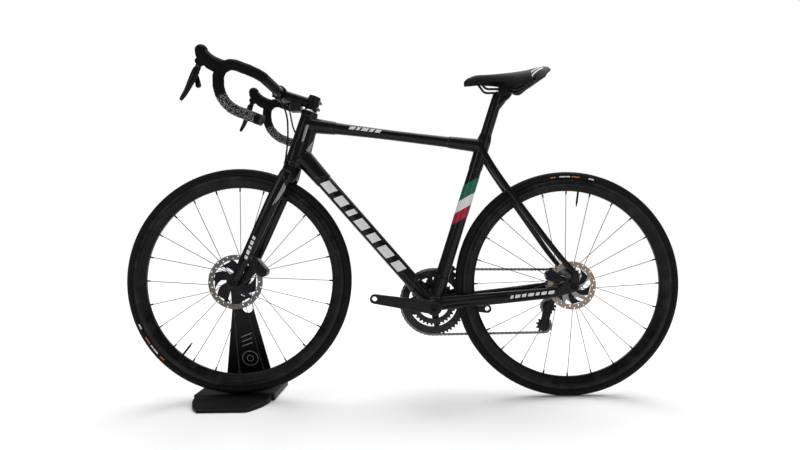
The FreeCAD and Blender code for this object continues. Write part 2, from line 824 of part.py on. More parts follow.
def chain_spans():
    """Straight runs between the wheels, as pairs of touching points."""
    stops = chain_stops()
    spans = []
    for k, (c1, r1, s1) in enumerate(stops):
        c2, r2, s2 = stops[(k + 1) % len(stops)]
        dx, dz = c2.x - c1.x, c2.z - c1.z
        heading = math.atan2(dz, dx) - math.asin((s2 * r2 - s1 * r1) / math.hypot(dx, dz))
        normal = V(-math.sin(heading), 0, math.cos(heading))
        spans.append((V(c1.x, 0, c1.z) - normal * (s1 * r1), V(c2.x, 0, c2.z) - normal * (s2 * r2)))
    return spans


def chain_path():
    stops = chain_stops()
    spans = chain_spans()
    edges = []
    for k, (centre, radius, sense) in enumerate(stops):
        arrive = spans[k - 1][1]
        leave = spans[k][0]
        a0 = math.atan2(arrive.z - centre.z, arrive.x - centre.x)
        a1 = math.atan2(leave.z - centre.z, leave.x - centre.x)
        turn = (a1 - a0) * sense % (2 * math.pi)
        middle = polar(centre, radius, math.degrees(a0 + sense * turn / 2))
        edges.append(Part.Arc(arrive, middle, leave).toShape())
        edges.append(Part.LineSegment(leave, spans[k][1]).toShape())
    return Part.Wire(edges)


def chain():
    """Two bands of side plates; the teeth run between them."""
    loop = Part.Face(chain_path())
    band = loop.makeOffset2D(CHAIN_HIGH).cut(loop.makeOffset2D(-CHAIN_HIGH))
    thick = CHAIN_HALF - CHAIN_INNER
    left = band.extrude(V(0, thick, 0))
    left.translate(V(0, CHAIN_Y - CHAIN_HALF, 0))
    right = band.extrude(V(0, thick, 0))
    right.translate(V(0, CHAIN_Y + CHAIN_INNER, 0))
    body = left.fuse(right)
    return body.fuse(chain_pins())


def chain_pins():
    """Pins across the two long runs, kept clear of the teeth."""
    stops = chain_stops()
    spans = chain_spans()
    pins = []
    for k in (0, 3):
        start, finish = spans[k]
        length = (finish - start).Length
        along = (finish - start).normalize()
        clear = [tooth_reach(stops[k][1]), tooth_reach(stops[(k + 1) % 4][1])]
        count = int((length - sum(clear)) // CHAIN_PITCH)
        for n in range(count + 1):
            at = start + along * (clear[0] + n * CHAIN_PITCH)
            pins.append(across(at, CHAIN_Y - CHAIN_HALF, CHAIN_Y + CHAIN_HALF, PIN_R))
    return pins


def tooth_reach(radius):
    """How far along a tangent a pin must sit to miss the tips of the teeth."""
    clear_of_tips = radius + TOOTH_TIP + PIN_R + BODY_GAP
    return math.sqrt(clear_of_tips ** 2 - radius ** 2)


def pulley(centre):
    wheel = toothed_plate(centre, PULLEY_TEETH, CHAIN_Y, 5)
    boss = across_ring(centre, CHAIN_Y - 4, CHAIN_Y + 4, 8, 2.5 + RUNNING)
    return wheel.fuse(boss)


def derailleur_cage():
    """Two plates and the two screws that carry the pulleys."""
    parts = []
    for y0, y1 in ((CHAIN_Y - 6.3, CHAIN_Y - 4.3), (CHAIN_Y + 4.3, CHAIN_Y + 6.3)):
        parts.append(slab(GUIDE, TENSION, 13, 11, y0, y1))
    cage = parts[0].fuse(parts[1])
    for centre in (GUIDE, TENSION):
        cage = cage.fuse(across(centre, CHAIN_Y - 6.3, CHAIN_Y + 6.3, 2.5))
    return cage


def rear_derailleur():
    """Upper knuckle on the hanger, two links and the lower knuckle."""
    top = V(502, 0, 307)
    y0 = REAR_DROPOUT + DROPOUT_THICK + 4
    body = across(top, y0, y0 + 12, 10)
    cage_y = CHAIN_Y + 6.3
    body = body.fuse(across(GUIDE, cage_y, cage_y + 16, 12))
    body = body.fuse(rod(V(502, y0 + 7, 300), V(450, cage_y + 10, 262), 5.5))
    body = body.fuse(rod(V(498, y0 + 6, 312), V(446, cage_y + 10, 271), 5.0))
    motor = rod(V(492, y0 + 5, 300), V(462, cage_y + 16, 276), 9)
    return body.fuse(motor).cut(derailleur_hanger()).cut(rear_dropout(1))


def front_derailleur(tube):
    """Cage over the top of the large ring, carried by an arm on the seat tube."""
    y0 = CHAIN_Y - 6.5
    cage = across_ring(BB, y0, y0 + 1.5, 112, 92).fuse(across_ring(BB, y0 + 11.5, y0 + 13, 112, 92))
    cage = cage.fuse(across_ring(BB, y0, y0 + 13, 112, 110))
    cage = cage.common(wedge(BB, 112, 48, 72))
    body = slab(V(134, 0, 372), V(150, 0, 384), 9, 8, 22, y0)
    return cage.cut(upper_run()).fuse(body).cut(tube)


def upper_run():
    """Room for the chain's straight run to the top of the large ring."""
    start, finish = chain_spans()[3]
    room = CHAIN_HIGH + 1.5
    return slab(start, finish, room, room, CHAIN_Y - CHAIN_HALF - 0.4, CHAIN_Y + CHAIN_HALF + 0.4)


def wedge(centre, radius, first, last):
    corner = V(centre.x, 0, centre.z)
    outline = [corner, polar(centre, radius * 1.2, first), polar(centre, radius * 1.2, last), corner]
    face = Part.Face(Part.makePolygon([p + V(0, 10, 0) for p in outline]))
    return face.extrude(V(0, 80, 0))


# ---------------------------------------------------------------- stand

def stand_base():
    """Tray under the tyre with a rounded wing that slopes to a low lip."""
    tray = box(STAND_MIDDLE - TRAY_HALF, STAND_MIDDLE + TRAY_HALF, TRAY_NEAR, TRAY_FAR, 0, STAND_TOP)
    upright = [e for e in tray.Edges if e.Length < STAND_TOP + 1]
    far = [e for e in upright if e.Vertexes[0].Y > 0]
    tray = tray.makeFillet(14, far)
    return tray.fuse(stand_wing()).removeSplitter()


def stand_wing():
    half = [(112, TRAY_NEAR), (106, -54), (91, -84), (69, LIP_Y)]
    right = [V(STAND_MIDDLE + x, y, 0) for x, y in half]
    left = [V(STAND_MIDDLE - x, y, 0) for x, y in reversed(half)]
    side_r = Part.BSplineCurve()
    side_r.interpolate(right)
    side_l = Part.BSplineCurve()
    side_l.interpolate(left)
    edges = [
        side_r.toShape(), Part.LineSegment(right[-1], left[0]).toShape(),
        side_l.toShape(), Part.LineSegment(left[-1], right[0]).toShape(),
    ]
    block = Part.Face(Part.Wire(edges)).extrude(V(0, 0, STAND_TOP))
    slope = [
        V(STAND_MIDDLE - 200, TRAY_NEAR, STAND_TOP), V(STAND_MIDDLE - 200, LIP_Y - 5, LIP_Z),
        V(STAND_MIDDLE - 200, LIP_Y - 5, STAND_TOP + 5), V(STAND_MIDDLE - 200, TRAY_NEAR, STAND_TOP + 5),
    ]
    above = Part.Face(Part.makePolygon(slope + slope[:1])).extrude(V(400, 0, 0))
    return block.cut(above)


def stand_upright():
    """Tapered plate that leans in to the hub, with a deep notch for it."""
    low_y, high_y = 128.0, 42.0
    low_z, high_z = STAND_TOP, 346.0
    lean = V(0, high_y - low_y, high_z - low_z)
    up = V(lean.x, lean.y, lean.z).normalize()
    length = lean.Length
    through = V(0, up.z, -up.y) * UPRIGHT_THICK
    foot = V(STAND_MIDDLE, low_y, low_z)
    half = [(78, -8), (73, 22), (33, 250), (31, length)]
    outline = [foot + V(x, 0, 0) + up * s for x, s in half]
    outline += [foot + V(-x, 0, 0) + up * s for x, s in reversed(half)]
    plate = Part.Face(Part.makePolygon(outline + outline[:1])).extrude(through)
    notch_low = V(FRONT.x, 0, 265)
    notch = across(notch_low, 0, 160, 16).fuse(box(FRONT.x - 16, FRONT.x + 16, 0, 160, 265, 400))
    plate = plate.cut(notch)
    return plate.cut(box(-900, -100, 0, 300, -20, STAND_TOP))


def stand_bracket():
    """Angle behind the foot of the upright."""
    x = STAND_MIDDLE - 55
    profile = [V(x, 133, STAND_TOP), V(x, 148, STAND_TOP), V(x, 120, 60)]
    block = Part.Face(Part.makePolygon(profile + profile[:1])).extrude(V(110, 0, 0))
    return block.cut(stand_upright())


# ---------------------------------------------------------------- build

def build_wheels():
    make_wheel("front", FRONT, front_hub(), FRONT_FLANGES, FRONT_VALVE_AT)
    make_wheel("rear", REAR, rear_hub(), REAR_FLANGES, REAR_VALVE_AT)
    save(rotor(FRONT, FRONT_ROTOR_Y, FRONT_ROTOR_R), "front_rotor")
    save(rotor(REAR, REAR_ROTOR_Y, REAR_ROTOR_R), "rear_rotor")


def build_frame():
    down = down_tube()
    left_dropout = rear_dropout(-1)
    right_dropout = rear_dropout(1)
    top = top_tube()
    save(head_tube(), "head_tube")
    save(top, "top_tube")
    save(down, "down_tube")
    save(seat_tube(down), "seat_tube")
    save(bottom_bracket_shell(), "bottom_bracket_shell")
    save(bottom_bracket_cups(), "bottom_bracket_cups")
    save(chainstay(-1).fuse(left_dropout), "chainstay_left")
    save(chainstay(1).fuse(right_dropout).fuse(derailleur_hanger()), "chainstay_right")
    blockers = [seat_tube_outside(), top]
    save(seatstay(-1, left_dropout, blockers), "seatstay_left")
    save(seatstay(1, right_dropout, blockers), "seatstay_right")
    save(thru_axle(REAR, REAR_DROPOUT + DROPOUT_THICK, 5), "rear_axle")
    save(headset_bearings(), "headset_bearings")
    save(rear_hose([head_tube_outside(), mirrored(tape_outside())]), "rear_brake_hose")


def build_rear_brake():
    upper, lower = V(430, 0, 368), V(447, 0, 358)
    body = caliper(REAR, REAR_ROTOR_Y, REAR_ROTOR_R, upper, lower, -67, -45)
    body = body.cut(chainstay(-1)).cut(rear_dropout(-1))
    body = body.cut(seatstay(-1, rear_dropout(-1), []))
    body = max(body.Solids, key=lambda s: s.Volume)
    pads = brake_pads(REAR, REAR_ROTOR_Y, REAR_ROTOR_R, upper, lower)
    save(Part.makeCompound([body] + pads), "rear_caliper")


def build_front_brake(leg):
    upper, lower = V(-432, 0, 412), V(-408, 0, 386)
    body = caliper(FRONT, FRONT_ROTOR_Y, FRONT_ROTOR_R, upper, lower, -56, -27).cut(leg)
    body = max(body.Solids, key=lambda s: s.Volume)
    pads = brake_pads(FRONT, FRONT_ROTOR_Y, FRONT_ROTOR_R, upper, lower)
    save(Part.makeCompound([body] + pads), "front_caliper")


def build_seat():
    pad = saddle_pad()
    save(seatpost().fuse(saddle_clamp()), "seatpost")
    save(seat_collar(), "seat_collar")
    save(pad, "saddle")
    save(saddle_rails(pad), "saddle_rails")


def build_fork():
    left = fork_leg(-1)
    right = fork_leg(1)
    crown = fork_crown([left, right]).fuse(steerer())
    save(left, "fork_leg_left")
    save(right, "fork_leg_right")
    save(crown, "fork_crown")
    save(thru_axle(FRONT, FRONT_DROPOUT + 14, 4), "front_axle")
    build_front_brake(left)
    save(front_hose([crown, left, tape_outside()]), "front_brake_hose")


def build_cockpit():
    bar = handlebar()
    tape, plug = bar_tape()
    stem_shape = stem(steerer(), bar)
    cover = hood(tape.fuse(bar_half()))
    save(bar, "handlebar")
    save(stem_shape, "stem")
    save(stem_faceplate(bar).fuse(stem_bolts()), "stem_faceplate")
    cap = rod(on_steer(STEM_TOP), on_steer(STEM_TOP + 4), 17)
    cap_bolt = rod(on_steer(STEM_TOP + 4), on_steer(STEM_TOP + 6), 5)
    save(cap.fuse(cap_bolt), "stem_cap")
    save(headset_cover(), "headset_cover")
    save(junction_box(stem_shape), "junction_box")
    pieces = {
        "bar_tape": tape.fuse(plug), "hood": cover.fuse(lever_pin()),
        "brake_lever": brake_lever(), "shift_paddle": shift_paddle(),
    }
    for name, shape in pieces.items():
        save(shape, name + "_left")
        save(mirrored(shape), name + "_right")


def build_drive():
    spindle = across_ring(BB, -80, 80, SPINDLE_R, 9)
    save(crank_arm(-1), "crank_arm_left")
    save(crank_arm(1).fuse(spindle), "crank_arm_right")
    save(chainring_large(), "chainring_large")
    save(chainring_small(), "chainring_small")
    save(cassette(), "cassette")
    save(chain(), "chain")
    save(pulley(GUIDE), "guide_pulley")
    save(pulley(TENSION), "tension_pulley")
    save(rear_derailleur().fuse(derailleur_cage()), "rear_derailleur")
    save(front_derailleur(seat_tube_outside()), "front_derailleur")


def build_stand():
    save(stand_base(), "stand_base")
    save(stand_upright().fuse(stand_bracket()), "stand_upright")


build_wheels()
build_frame()
build_rear_brake()
build_seat()
build_fork()
build_cockpit()
build_drive()
build_stand()
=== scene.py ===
import json
import math

import bmesh
import bpy
from mathutils import Euler, Matrix, Vector
from mathutils.bvhtree import BVHTree


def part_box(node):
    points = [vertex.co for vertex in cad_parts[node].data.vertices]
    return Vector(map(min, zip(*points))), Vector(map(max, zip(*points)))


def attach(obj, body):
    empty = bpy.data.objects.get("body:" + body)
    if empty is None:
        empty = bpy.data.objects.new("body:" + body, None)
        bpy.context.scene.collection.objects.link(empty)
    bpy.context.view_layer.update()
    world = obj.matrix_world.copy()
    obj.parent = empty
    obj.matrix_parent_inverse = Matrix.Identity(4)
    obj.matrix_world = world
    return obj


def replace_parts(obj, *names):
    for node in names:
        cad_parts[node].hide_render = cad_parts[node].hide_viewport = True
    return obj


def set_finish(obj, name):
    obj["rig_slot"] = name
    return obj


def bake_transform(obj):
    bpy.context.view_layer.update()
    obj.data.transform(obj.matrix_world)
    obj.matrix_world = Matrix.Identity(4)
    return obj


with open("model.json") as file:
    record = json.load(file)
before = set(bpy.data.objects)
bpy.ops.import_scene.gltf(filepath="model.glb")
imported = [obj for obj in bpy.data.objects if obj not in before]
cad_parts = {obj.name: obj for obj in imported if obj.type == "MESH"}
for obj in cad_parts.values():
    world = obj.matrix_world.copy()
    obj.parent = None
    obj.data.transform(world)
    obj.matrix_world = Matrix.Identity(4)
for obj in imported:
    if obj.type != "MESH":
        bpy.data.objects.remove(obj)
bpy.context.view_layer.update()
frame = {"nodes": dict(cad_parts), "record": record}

# ---- places, in metres

JOINTS = {j["name"]: j for j in frame["record"]["behaviour"]["joints"]}
NODES = frame["nodes"]


def joint_at(name):
    return Vector(JOINTS[name]["pos_m"])


FRONT = joint_at("front_wheel_spin")
REAR = joint_at("rear_wheel_spin")
BB = joint_at("crank_spin")
GUIDE = joint_at("guide_pulley_spin")
TENSION = joint_at("tension_pulley_spin")
HEAD = joint_at("steering")
STEER_UP = Vector(JOINTS["steering"]["axis"]).normalized()
AHEAD = Vector((-STEER_UP.z, 0, STEER_UP.x))
SEAT_UP = Vector((math.cos(math.radians(72.1)), 0, math.sin(math.radians(72.1))))
PIVOT = joint_at("brake_lever_left_pull")
CHAIN_Y = GUIDE.y
WHEEL_R = (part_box("front_tyre")[1].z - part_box("front_tyre")[0].z) / 2
TYRE_TUBE = 0.013
BAR_CENTRE = HEAD + STEER_UP * 0.034 + AHEAD * 0.1
BAR_HALF = -PIVOT.y - 0.0025
PITCH = 0.0127
RING_TEETH, PULLEY_TEETH, SPROCKET_TEETH = 50, 11, 19
TOOTH_ROOM = 0.0061
INNER_PLATE, OUTER_PLATE = (0.0013, 0.0020), (0.0021, 0.0028)
PIN_END = (0.0012, 0.0031)
PIN_R, ROLLER_R = 0.0018, 0.0031
PAPER_BRIGHTNESS = 1.0
ROOM_BRIGHTNESS = 0.2
CEILING = 3.05
CEILING_SPREAD = 60
PRINT_FROM = 0.3
PRINT_LIFT = 0.00035
BAND_R = (0.0216, 0.0193)
BAND_SLANT = 1.1
TAPE_WRAP = 0.024
TAPE_STEP = 0.0007
TAPE_AROUND = 40
FIN_HALF = 0.0013
FIN_STEPS = 8
SPOKES = 24
NIPPLE_FOOT = 0.2785
VALVE_ANGLE = {"front": 232.0, "rear": 82.0}
MARK_START = {"front": 3.95, "rear": 1.72}
MARK_LIFT = 0.0003
HOSE_R = 0.0025
CAMERA_AT = (0.0622, -1.5268, 0.5113)
CAMERA_TURNS = ((-0.26, "Z"), (0.742, "X"), (0.666, "Y"), (90, "X"))
AIM = (0, 0, 0.5)


def on_steer(s):
    return HEAD + STEER_UP * s


def on_seat(s):
    return BB + SEAT_UP * s


# ---- materials

MAT = {}


def node_tree(name):
    """A new material in MAT: its node tree and its main shader."""
    mat = bpy.data.materials.new(name)
    mat.use_nodes = True
    MAT[name] = mat
    return mat.node_tree, mat.node_tree.nodes["Principled BSDF"]


def set_inputs(node, values):
    for name, value in values.items():
        node.inputs[name].default_value = value


def object_coords(tree):
    return tree.nodes.new("ShaderNodeTexCoord").outputs["Object"]


def noise(tree, coords, scale, detail=4.0, rough=0.55):
    tex = tree.nodes.new("ShaderNodeTexNoise")
    set_inputs(tex, {"Scale": scale, "Detail": detail, "Roughness": rough})
    tree.links.new(coords, tex.inputs["Vector"])
    return tex.outputs["Fac"]


def ramp(tree, fac, stops):
    node = tree.nodes.new("ShaderNodeValToRGB")
    node.color_ramp.elements[0].position = stops[0][0]
    node.color_ramp.elements[0].color = (*stops[0][1], 1)
    node.color_ramp.elements[1].position = stops[-1][0]
    node.color_ramp.elements[1].color = (*stops[-1][1], 1)
    for position, colour in stops[1:-1]:
        element = node.color_ramp.elements.new(position)
        element.color = (*colour, 1)
    tree.links.new(fac, node.inputs["Fac"])
    return node.outputs["Color"]


def span(tree, fac, low, high, from_low=0.3, from_high=0.7):
    node = tree.nodes.new("ShaderNodeMapRange")
    set_inputs(node, {"From Min": from_low, "From Max": from_high, "To Min": low, "To Max": high})
    tree.links.new(fac, node.inputs["Value"])
    return node.outputs["Result"]


def maths(tree, operation, a, b):
    node = tree.nodes.new("ShaderNodeMath")
    node.operation = operation
    for k, value in enumerate((a, b)):
        if isinstance(value, (int, float)):
            node.inputs[k].default_value = value
        else:
            tree.links.new(value, node.inputs[k])
    return node.outputs["Value"]


def mix_colour(tree, fac, a, b):
    node = tree.nodes.new("ShaderNodeMix")
    node.data_type = "RGBA"
    tree.links.new(fac, node.inputs["Factor"])
    for socket, value in ((node.inputs["A"], a), (node.inputs["B"], b)):
        if isinstance(value, tuple):
            socket.default_value = (*value, 1)
        else:
            tree.links.new(value, socket)
    return node.outputs["Result"]


def bump(tree, shader, height, distance):
    node = tree.nodes.new("ShaderNodeBump")
    set_inputs(node, {"Strength": 1.0, "Distance": distance})
    tree.links.new(height, node.inputs["Height"])
    tree.links.new(node.outputs["Normal"], shader.inputs["Normal"])


def axle_distance(tree, coords, centre):
    """Distance from the line through centre along the Y axis."""
    for operation, value in (("SUBTRACT", centre), ("MULTIPLY", (1, 0, 1))):
        node = tree.nodes.new("ShaderNodeVectorMath")
        node.operation = operation
        node.inputs[1].default_value = value
        tree.links.new(coords, node.inputs[0])
        coords = node.outputs["Vector"]
    length = tree.nodes.new("ShaderNodeVectorMath")
    length.operation = "LENGTH"
    tree.links.new(coords, length.inputs[0])
    return length.outputs["Value"]


def ringed(tree, distance, scale):
    """Noise that changes only with the distance from an axle."""
    tex = tree.nodes.new("ShaderNodeTexNoise")
    tex.noise_dimensions = "1D"
    tex.inputs["Scale"].default_value = scale
    tree.links.new(distance, tex.inputs["W"])
    return tex.outputs["Fac"]


def surface(name, dark, light, grain, rough, depth=0.0, metallic=0.0, coat=0.0, specular=0.25):
    """Mottled colour, uneven roughness and fine bump at one grain size (per metre)."""
    tree, shader = node_tree(name)
    coords = object_coords(tree)
    broad = noise(tree, coords, grain * 0.12, 3.0)
    fine = noise(tree, coords, grain, 6.0)
    blend = maths(tree, "MULTIPLY", maths(tree, "ADD", broad, fine), 0.5)
    tree.links.new(ramp(tree, blend, [(0.35, dark), (0.65, light)]), shader.inputs["Base Color"])
    tree.links.new(span(tree, fine, rough[0], rough[1]), shader.inputs["Roughness"])
    set_inputs(shader, {"Metallic": metallic, "Specular IOR Level": specular})
    if coat:
        set_inputs(shader, {"Coat Weight": coat, "Coat Roughness": 0.06})
    if depth:
        bump(tree, shader, fine, depth)


def weave(name, dark, light, size, rough, coat):
    """Woven fibre as a slanted checker of lighter and darker bands, under a clear coat."""
    tree, shader = node_tree(name)
    coords = object_coords(tree)
    turned = tree.nodes.new("ShaderNodeVectorRotate")
    turned.rotation_type = "Y_AXIS"
    turned.inputs["Angle"].default_value = math.radians(28)
    tree.links.new(coords, turned.inputs["Vector"])
    checker = tree.nodes.new("ShaderNodeTexChecker")
    checker.inputs["Scale"].default_value = 1.0 / size
    tree.links.new(turned.outputs["Vector"], checker.inputs["Vector"])
    fibre = noise(tree, turned.outputs["Vector"], 4.0 / size, 5.0)
    bands = maths(tree, "MULTIPLY", checker.outputs["Fac"], 0.7)
    shade = maths(tree, "ADD", bands, maths(tree, "MULTIPLY", fibre, 0.3))
    tree.links.new(ramp(tree, shade, [(0.1, dark), (0.9, light)]), shader.inputs["Base Color"])
    tree.links.new(span(tree, shade, rough[0], rough[1], 0.0, 1.0), shader.inputs["Roughness"])
    set_inputs(shader, {"Coat Weight": coat, "Coat Roughness": 0.08})


def band_material(name, centre, radius, inside, outside, metallic):
    """Two finishes on one disc, parted at a radius about the Y axis."""
    tree, shader = node_tree(name)
    distance = axle_distance(tree, object_coords(tree), centre)
    grooves = ringed(tree, distance, 1800)
    outer = maths(tree, "GREATER_THAN", distance, radius)
    streak = ramp(tree, grooves, [(0.3, outside[0]), (0.7, outside[1])])
    tree.links.new(mix_colour(tree, outer, inside, streak), shader.inputs["Base Color"])
    tree.links.new(span(tree, grooves, 0.28, 0.5), shader.inputs["Roughness"])
    shader.inputs["Metallic"].default_value = metallic
    bump(tree, shader, grooves, 0.00005)


def rim_material(name, centre):
    """Carbon rim wall with faint rings round the hub and uneven gloss, and lighter patches in its colour that
    are painted highlights over its uneven dark tone.
    """
    tree, shader = node_tree(name)
    coords = object_coords(tree)
    rings = ringed(tree, axle_distance(tree, coords, centre), 260)
    highlight_and_gloss_patches = noise(tree, coords, 28, 4.0, 0.6)
    fac = maths(tree, "MULTIPLY", maths(tree, "ADD", rings, highlight_and_gloss_patches), 0.5)
    # the lightest stop paints highlights into the rim's colour as random patches; the darker stops are its
    # uneven carbon tone
    shades = [(0.36, (0.002, 0.002, 0.0023)), (0.52, (0.0055, 0.0055, 0.006)), (0.68, (0.030, 0.030, 0.033))]
    tree.links.new(ramp(tree, fac, shades), shader.inputs["Base Color"])
    tree.links.new(span(tree, highlight_and_gloss_patches, 0.22, 0.45), shader.inputs["Roughness"])
    set_inputs(shader, {"Metallic": 0.3, "Specular IOR Level": 0.18})
    bump(tree, shader, highlight_and_gloss_patches, 0.0002)


def tape_material():
    """Cushioned tape, speckled grey where the piece's own mask says so."""
    tree, shader = node_tree("tape")
    coords = object_coords(tree)
    fine = noise(tree, coords, 900, 5.0)
    speck = noise(tree, coords, 300, 2.0, 0.8)
    mask = tree.nodes.new("ShaderNodeAttribute")
    mask.attribute_name = "speckle"
    flecks = maths(tree, "MULTIPLY", maths(tree, "GREATER_THAN", speck, 0.535), mask.outputs["Fac"])
    black = ramp(tree, fine, [(0.3, (0.0015, 0.0015, 0.0018)), (0.7, (0.0045, 0.0045, 0.005))])
    tree.links.new(mix_colour(tree, flecks, black, (0.22, 0.22, 0.235)), shader.inputs["Base Color"])
    shader.inputs["Specular IOR Level"].default_value = 0.08
    tree.links.new(span(tree, fine, 0.5, 0.75), shader.inputs["Roughness"])
    bump(tree, shader, fine, 0.00025)


def plain_paint(name, colour, rough):
    """Printed graphic: one colour with a little uneven gloss."""
    surface(name, tuple(c * 0.9 for c in colour), colour, 300, rough, coat=0.15)


def build_materials():
    """Colours from dark to light, grain per metre, range of roughness, depth of bump in metres."""
    surface("carbon", (0.0018, 0.0018, 0.0022), (0.005, 0.005, 0.0062), 700, (0.24, 0.36), 0.00002,
            coat=0.18, specular=0.12)
    surface("tyre", (0.003, 0.003, 0.0033), (0.007, 0.007, 0.0075), 900, (0.5, 0.7), 0.00025, specular=0.1)
    surface("black_metal", (0.003, 0.003, 0.0033), (0.008, 0.008, 0.0085), 900, (0.28, 0.42), 0.00003,
            metallic=0.3, specular=0.15)
    surface("spoke_steel", (0.012, 0.012, 0.013), (0.03, 0.03, 0.032), 600, (0.25, 0.4), metallic=0.9)
    surface("brake_black", (0.005, 0.005, 0.0062), (0.018, 0.018, 0.021), 800, (0.25, 0.42), 0.00004,
            metallic=0.6, specular=0.2)
    surface("crank", (0.003, 0.003, 0.0035), (0.009, 0.009, 0.0102), 500, (0.24, 0.36), 0.00003,
            metallic=0.5, coat=0.15, specular=0.15)
    surface("bright_steel", (0.24, 0.24, 0.25), (0.45, 0.45, 0.46), 700, (0.25, 0.42), 0.00004, metallic=1.0)
    surface("chain_steel", (0.10, 0.10, 0.105), (0.24, 0.235, 0.23), 900, (0.3, 0.5), 0.00004, metallic=1.0)
    surface("ring_grey", (0.014, 0.014, 0.016), (0.045, 0.045, 0.049), 700, (0.3, 0.48), 0.00004,
            metallic=0.9)
    surface("pulley_plastic", (0.007, 0.007, 0.008), (0.015, 0.015, 0.017), 700, (0.4, 0.55), 0.00006)
    surface("hood_rubber", (0.0012, 0.0012, 0.0014), (0.0035, 0.0035, 0.004), 800, (0.45, 0.62), 0.0002,
            specular=0.07)
    surface("lever_black", (0.003, 0.003, 0.0035), (0.008, 0.008, 0.009), 500, (0.22, 0.36), 0.00003,
            metallic=0.4, coat=0.1, specular=0.15)
    surface("saddle_cover", (0.0028, 0.0028, 0.004), (0.0068, 0.007, 0.0095), 1400, (0.38, 0.55), 0.00018,
            specular=0.13)
    surface("hose", (0.003, 0.003, 0.0033), (0.006, 0.006, 0.0068), 500, (0.35, 0.5), 0.00003, specular=0.15)
    surface("stand_black", (0.002, 0.002, 0.0023), (0.005, 0.005, 0.0054), 1500, (0.32, 0.5), 0.00015,
            specular=0.15)
    plain_paint("white", (0.72, 0.72, 0.70), (0.3, 0.45))
    plain_paint("green", (0.004, 0.115, 0.065), (0.3, 0.42))
    plain_paint("red", (0.33, 0.006, 0.035), (0.3, 0.42))
    plain_paint("orange", (0.42, 0.13, 0.03), (0.5, 0.65))
    plain_paint("grey_line", (0.30, 0.30, 0.31), (0.35, 0.5))
    plain_paint("dim_line", (0.045, 0.045, 0.048), (0.35, 0.5))
    weave("fibre", (0.08, 0.08, 0.085), (0.32, 0.32, 0.33), 0.0022, (0.3, 0.45), 0.6)
    band_material("front_rotor", FRONT, 0.0645, (0.02, 0.02, 0.022),
                  ((0.07, 0.065, 0.06), (0.20, 0.185, 0.17)), 0.9)
    band_material("rear_rotor", REAR, 0.0545, (0.25, 0.25, 0.26),
                  ((0.20, 0.15, 0.115), (0.36, 0.28, 0.23)), 0.95)
    tape_material()
    rim_material("front_rim", FRONT)
    rim_material("rear_rim", REAR)


build_materials()
NODE_MATERIAL = {
    "front_rim": "front_rim", "rear_rim": "rear_rim",
    "front_rotor": "front_rotor", "rear_rotor": "rear_rotor", "chainring_large": "ring_grey",
    "chainring_small": "ring_grey", "crank_arm_left": "crank", "crank_arm_right": "crank",
    "saddle_rails": "black_metal", "headset_bearings": "bright_steel",
}
SLOT_OF = {s["node"]: s["material_slot"] for s in frame["record"]["subparts"]}


def dress(obj, name):
    obj.data.materials.clear()
    obj.data.materials.append(MAT[name])


for node_name, node in NODES.items():
    chosen = NODE_MATERIAL.get(node_name, SLOT_OF[node_name])
    if node.material_slots:
        for material_slot in node.material_slots:
            material_slot.material = MAT[chosen]
    else:
        node.data.materials.append(MAT[chosen])


# ---- mesh tools

def place(name, mesh, material, slot, smooth=True):
    """A new dressed object that doesn't yet follow any body."""
    obj = bpy.data.objects.new(name, mesh)
    bpy.context.scene.collection.objects.link(obj)
    for face in mesh.polygons:
        face.use_smooth = smooth
    dress(obj, material)
    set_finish(obj, slot)
    return obj


def add(name, mesh, body, material, slot, smooth=True):
    obj = place(name, mesh, material, slot, smooth)
    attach(obj, body)
    return obj


def add_shape(name, shape, body, material, slot, smooth=True):
    """add for a shape given as (verts, faces)."""
    return add(name, from_lists(name, *shape), body, material, slot, smooth)


def from_lists(name, verts, faces):
    mesh = bpy.data.meshes.new(name)
    mesh.from_pydata([tuple(v) for v in verts], [], faces)
    mesh.update()
    bm = bmesh.new()
    bm.from_mesh(mesh)
    bmesh.ops.recalc_face_normals(bm, faces=bm.faces)
    bm.to_mesh(mesh)
    bm.free()
    return mesh


def melted(name, meshes, voxel, rounds, extra=()):
    """One skin over closed meshes and extra cones (end, end, radius, radius), with soft edges."""
    bm = bmesh.new()
    for mesh in meshes:
        bm.from_mesh(mesh)
    for a, b, ra, rb in extra:
        direction = b - a
        middle = Matrix.Translation((a + b) / 2) @ direction.to_track_quat("Z", "Y").to_matrix().to_4x4()
        bmesh.ops.create_cone(bm, cap_ends=True, segments=48, radius1=ra, radius2=rb,
                              depth=direction.length, matrix=middle)
    joined = bpy.data.meshes.new(name + "_source")
    bm.to_mesh(joined)
    bm.free()
    source = bpy.data.objects.new(name + "_source", joined)
    bpy.context.scene.collection.objects.link(source)
    remesh = source.modifiers.new("skin", "REMESH")
    remesh.mode = "VOXEL"
    remesh.voxel_size = voxel
    soften = source.modifiers.new("soft", "SMOOTH")
    soften.factor = 0.5
    soften.iterations = rounds
    bpy.context.view_layer.update()
    done = bpy.data.meshes.new_from_object(source.evaluated_get(bpy.context.evaluated_depsgraph_get()))
    bpy.data.objects.remove(source)
    done.materials.clear()
    return done


def soft_copy(node_names, name, body, material, voxel, rounds, extra=()):
    meshes = [NODES[n].data for n in node_names]
    skin = add(name, melted(name, meshes, voxel, rounds, extra), body, material, SLOT_OF[node_names[0]])
    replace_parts(skin, *node_names)
    return skin


def filleted(corners, radii, step):
    """Points along straight runs joined by tangent arcs."""
    points = [corners[0]]
    start = corners[0]
    for k in range(1, len(corners) - 1):
        corner = corners[k]
        back = (corners[k - 1] - corner).normalized()
        ahead = (corners[k + 1] - corner).normalized()
        half = back.angle(ahead) / 2
        reach = radii[k - 1] / math.tan(half)
        first = corner + back * reach
        centre = corner + (back + ahead).normalized() * (radii[k - 1] / math.sin(half))
        axis = (first - centre).cross(corner + ahead * reach - centre).normalized()
        turn = math.pi - 2 * half
        points += evenly(start, first, step)
        count = max(3, int(turn * radii[k - 1] / step))
        for n in range(1, count + 1):
            points.append(centre + Matrix.Rotation(turn * n / count, 3, axis) @ (first - centre))
        start = points[-1]
    return points + evenly(start, corners[-1], step)


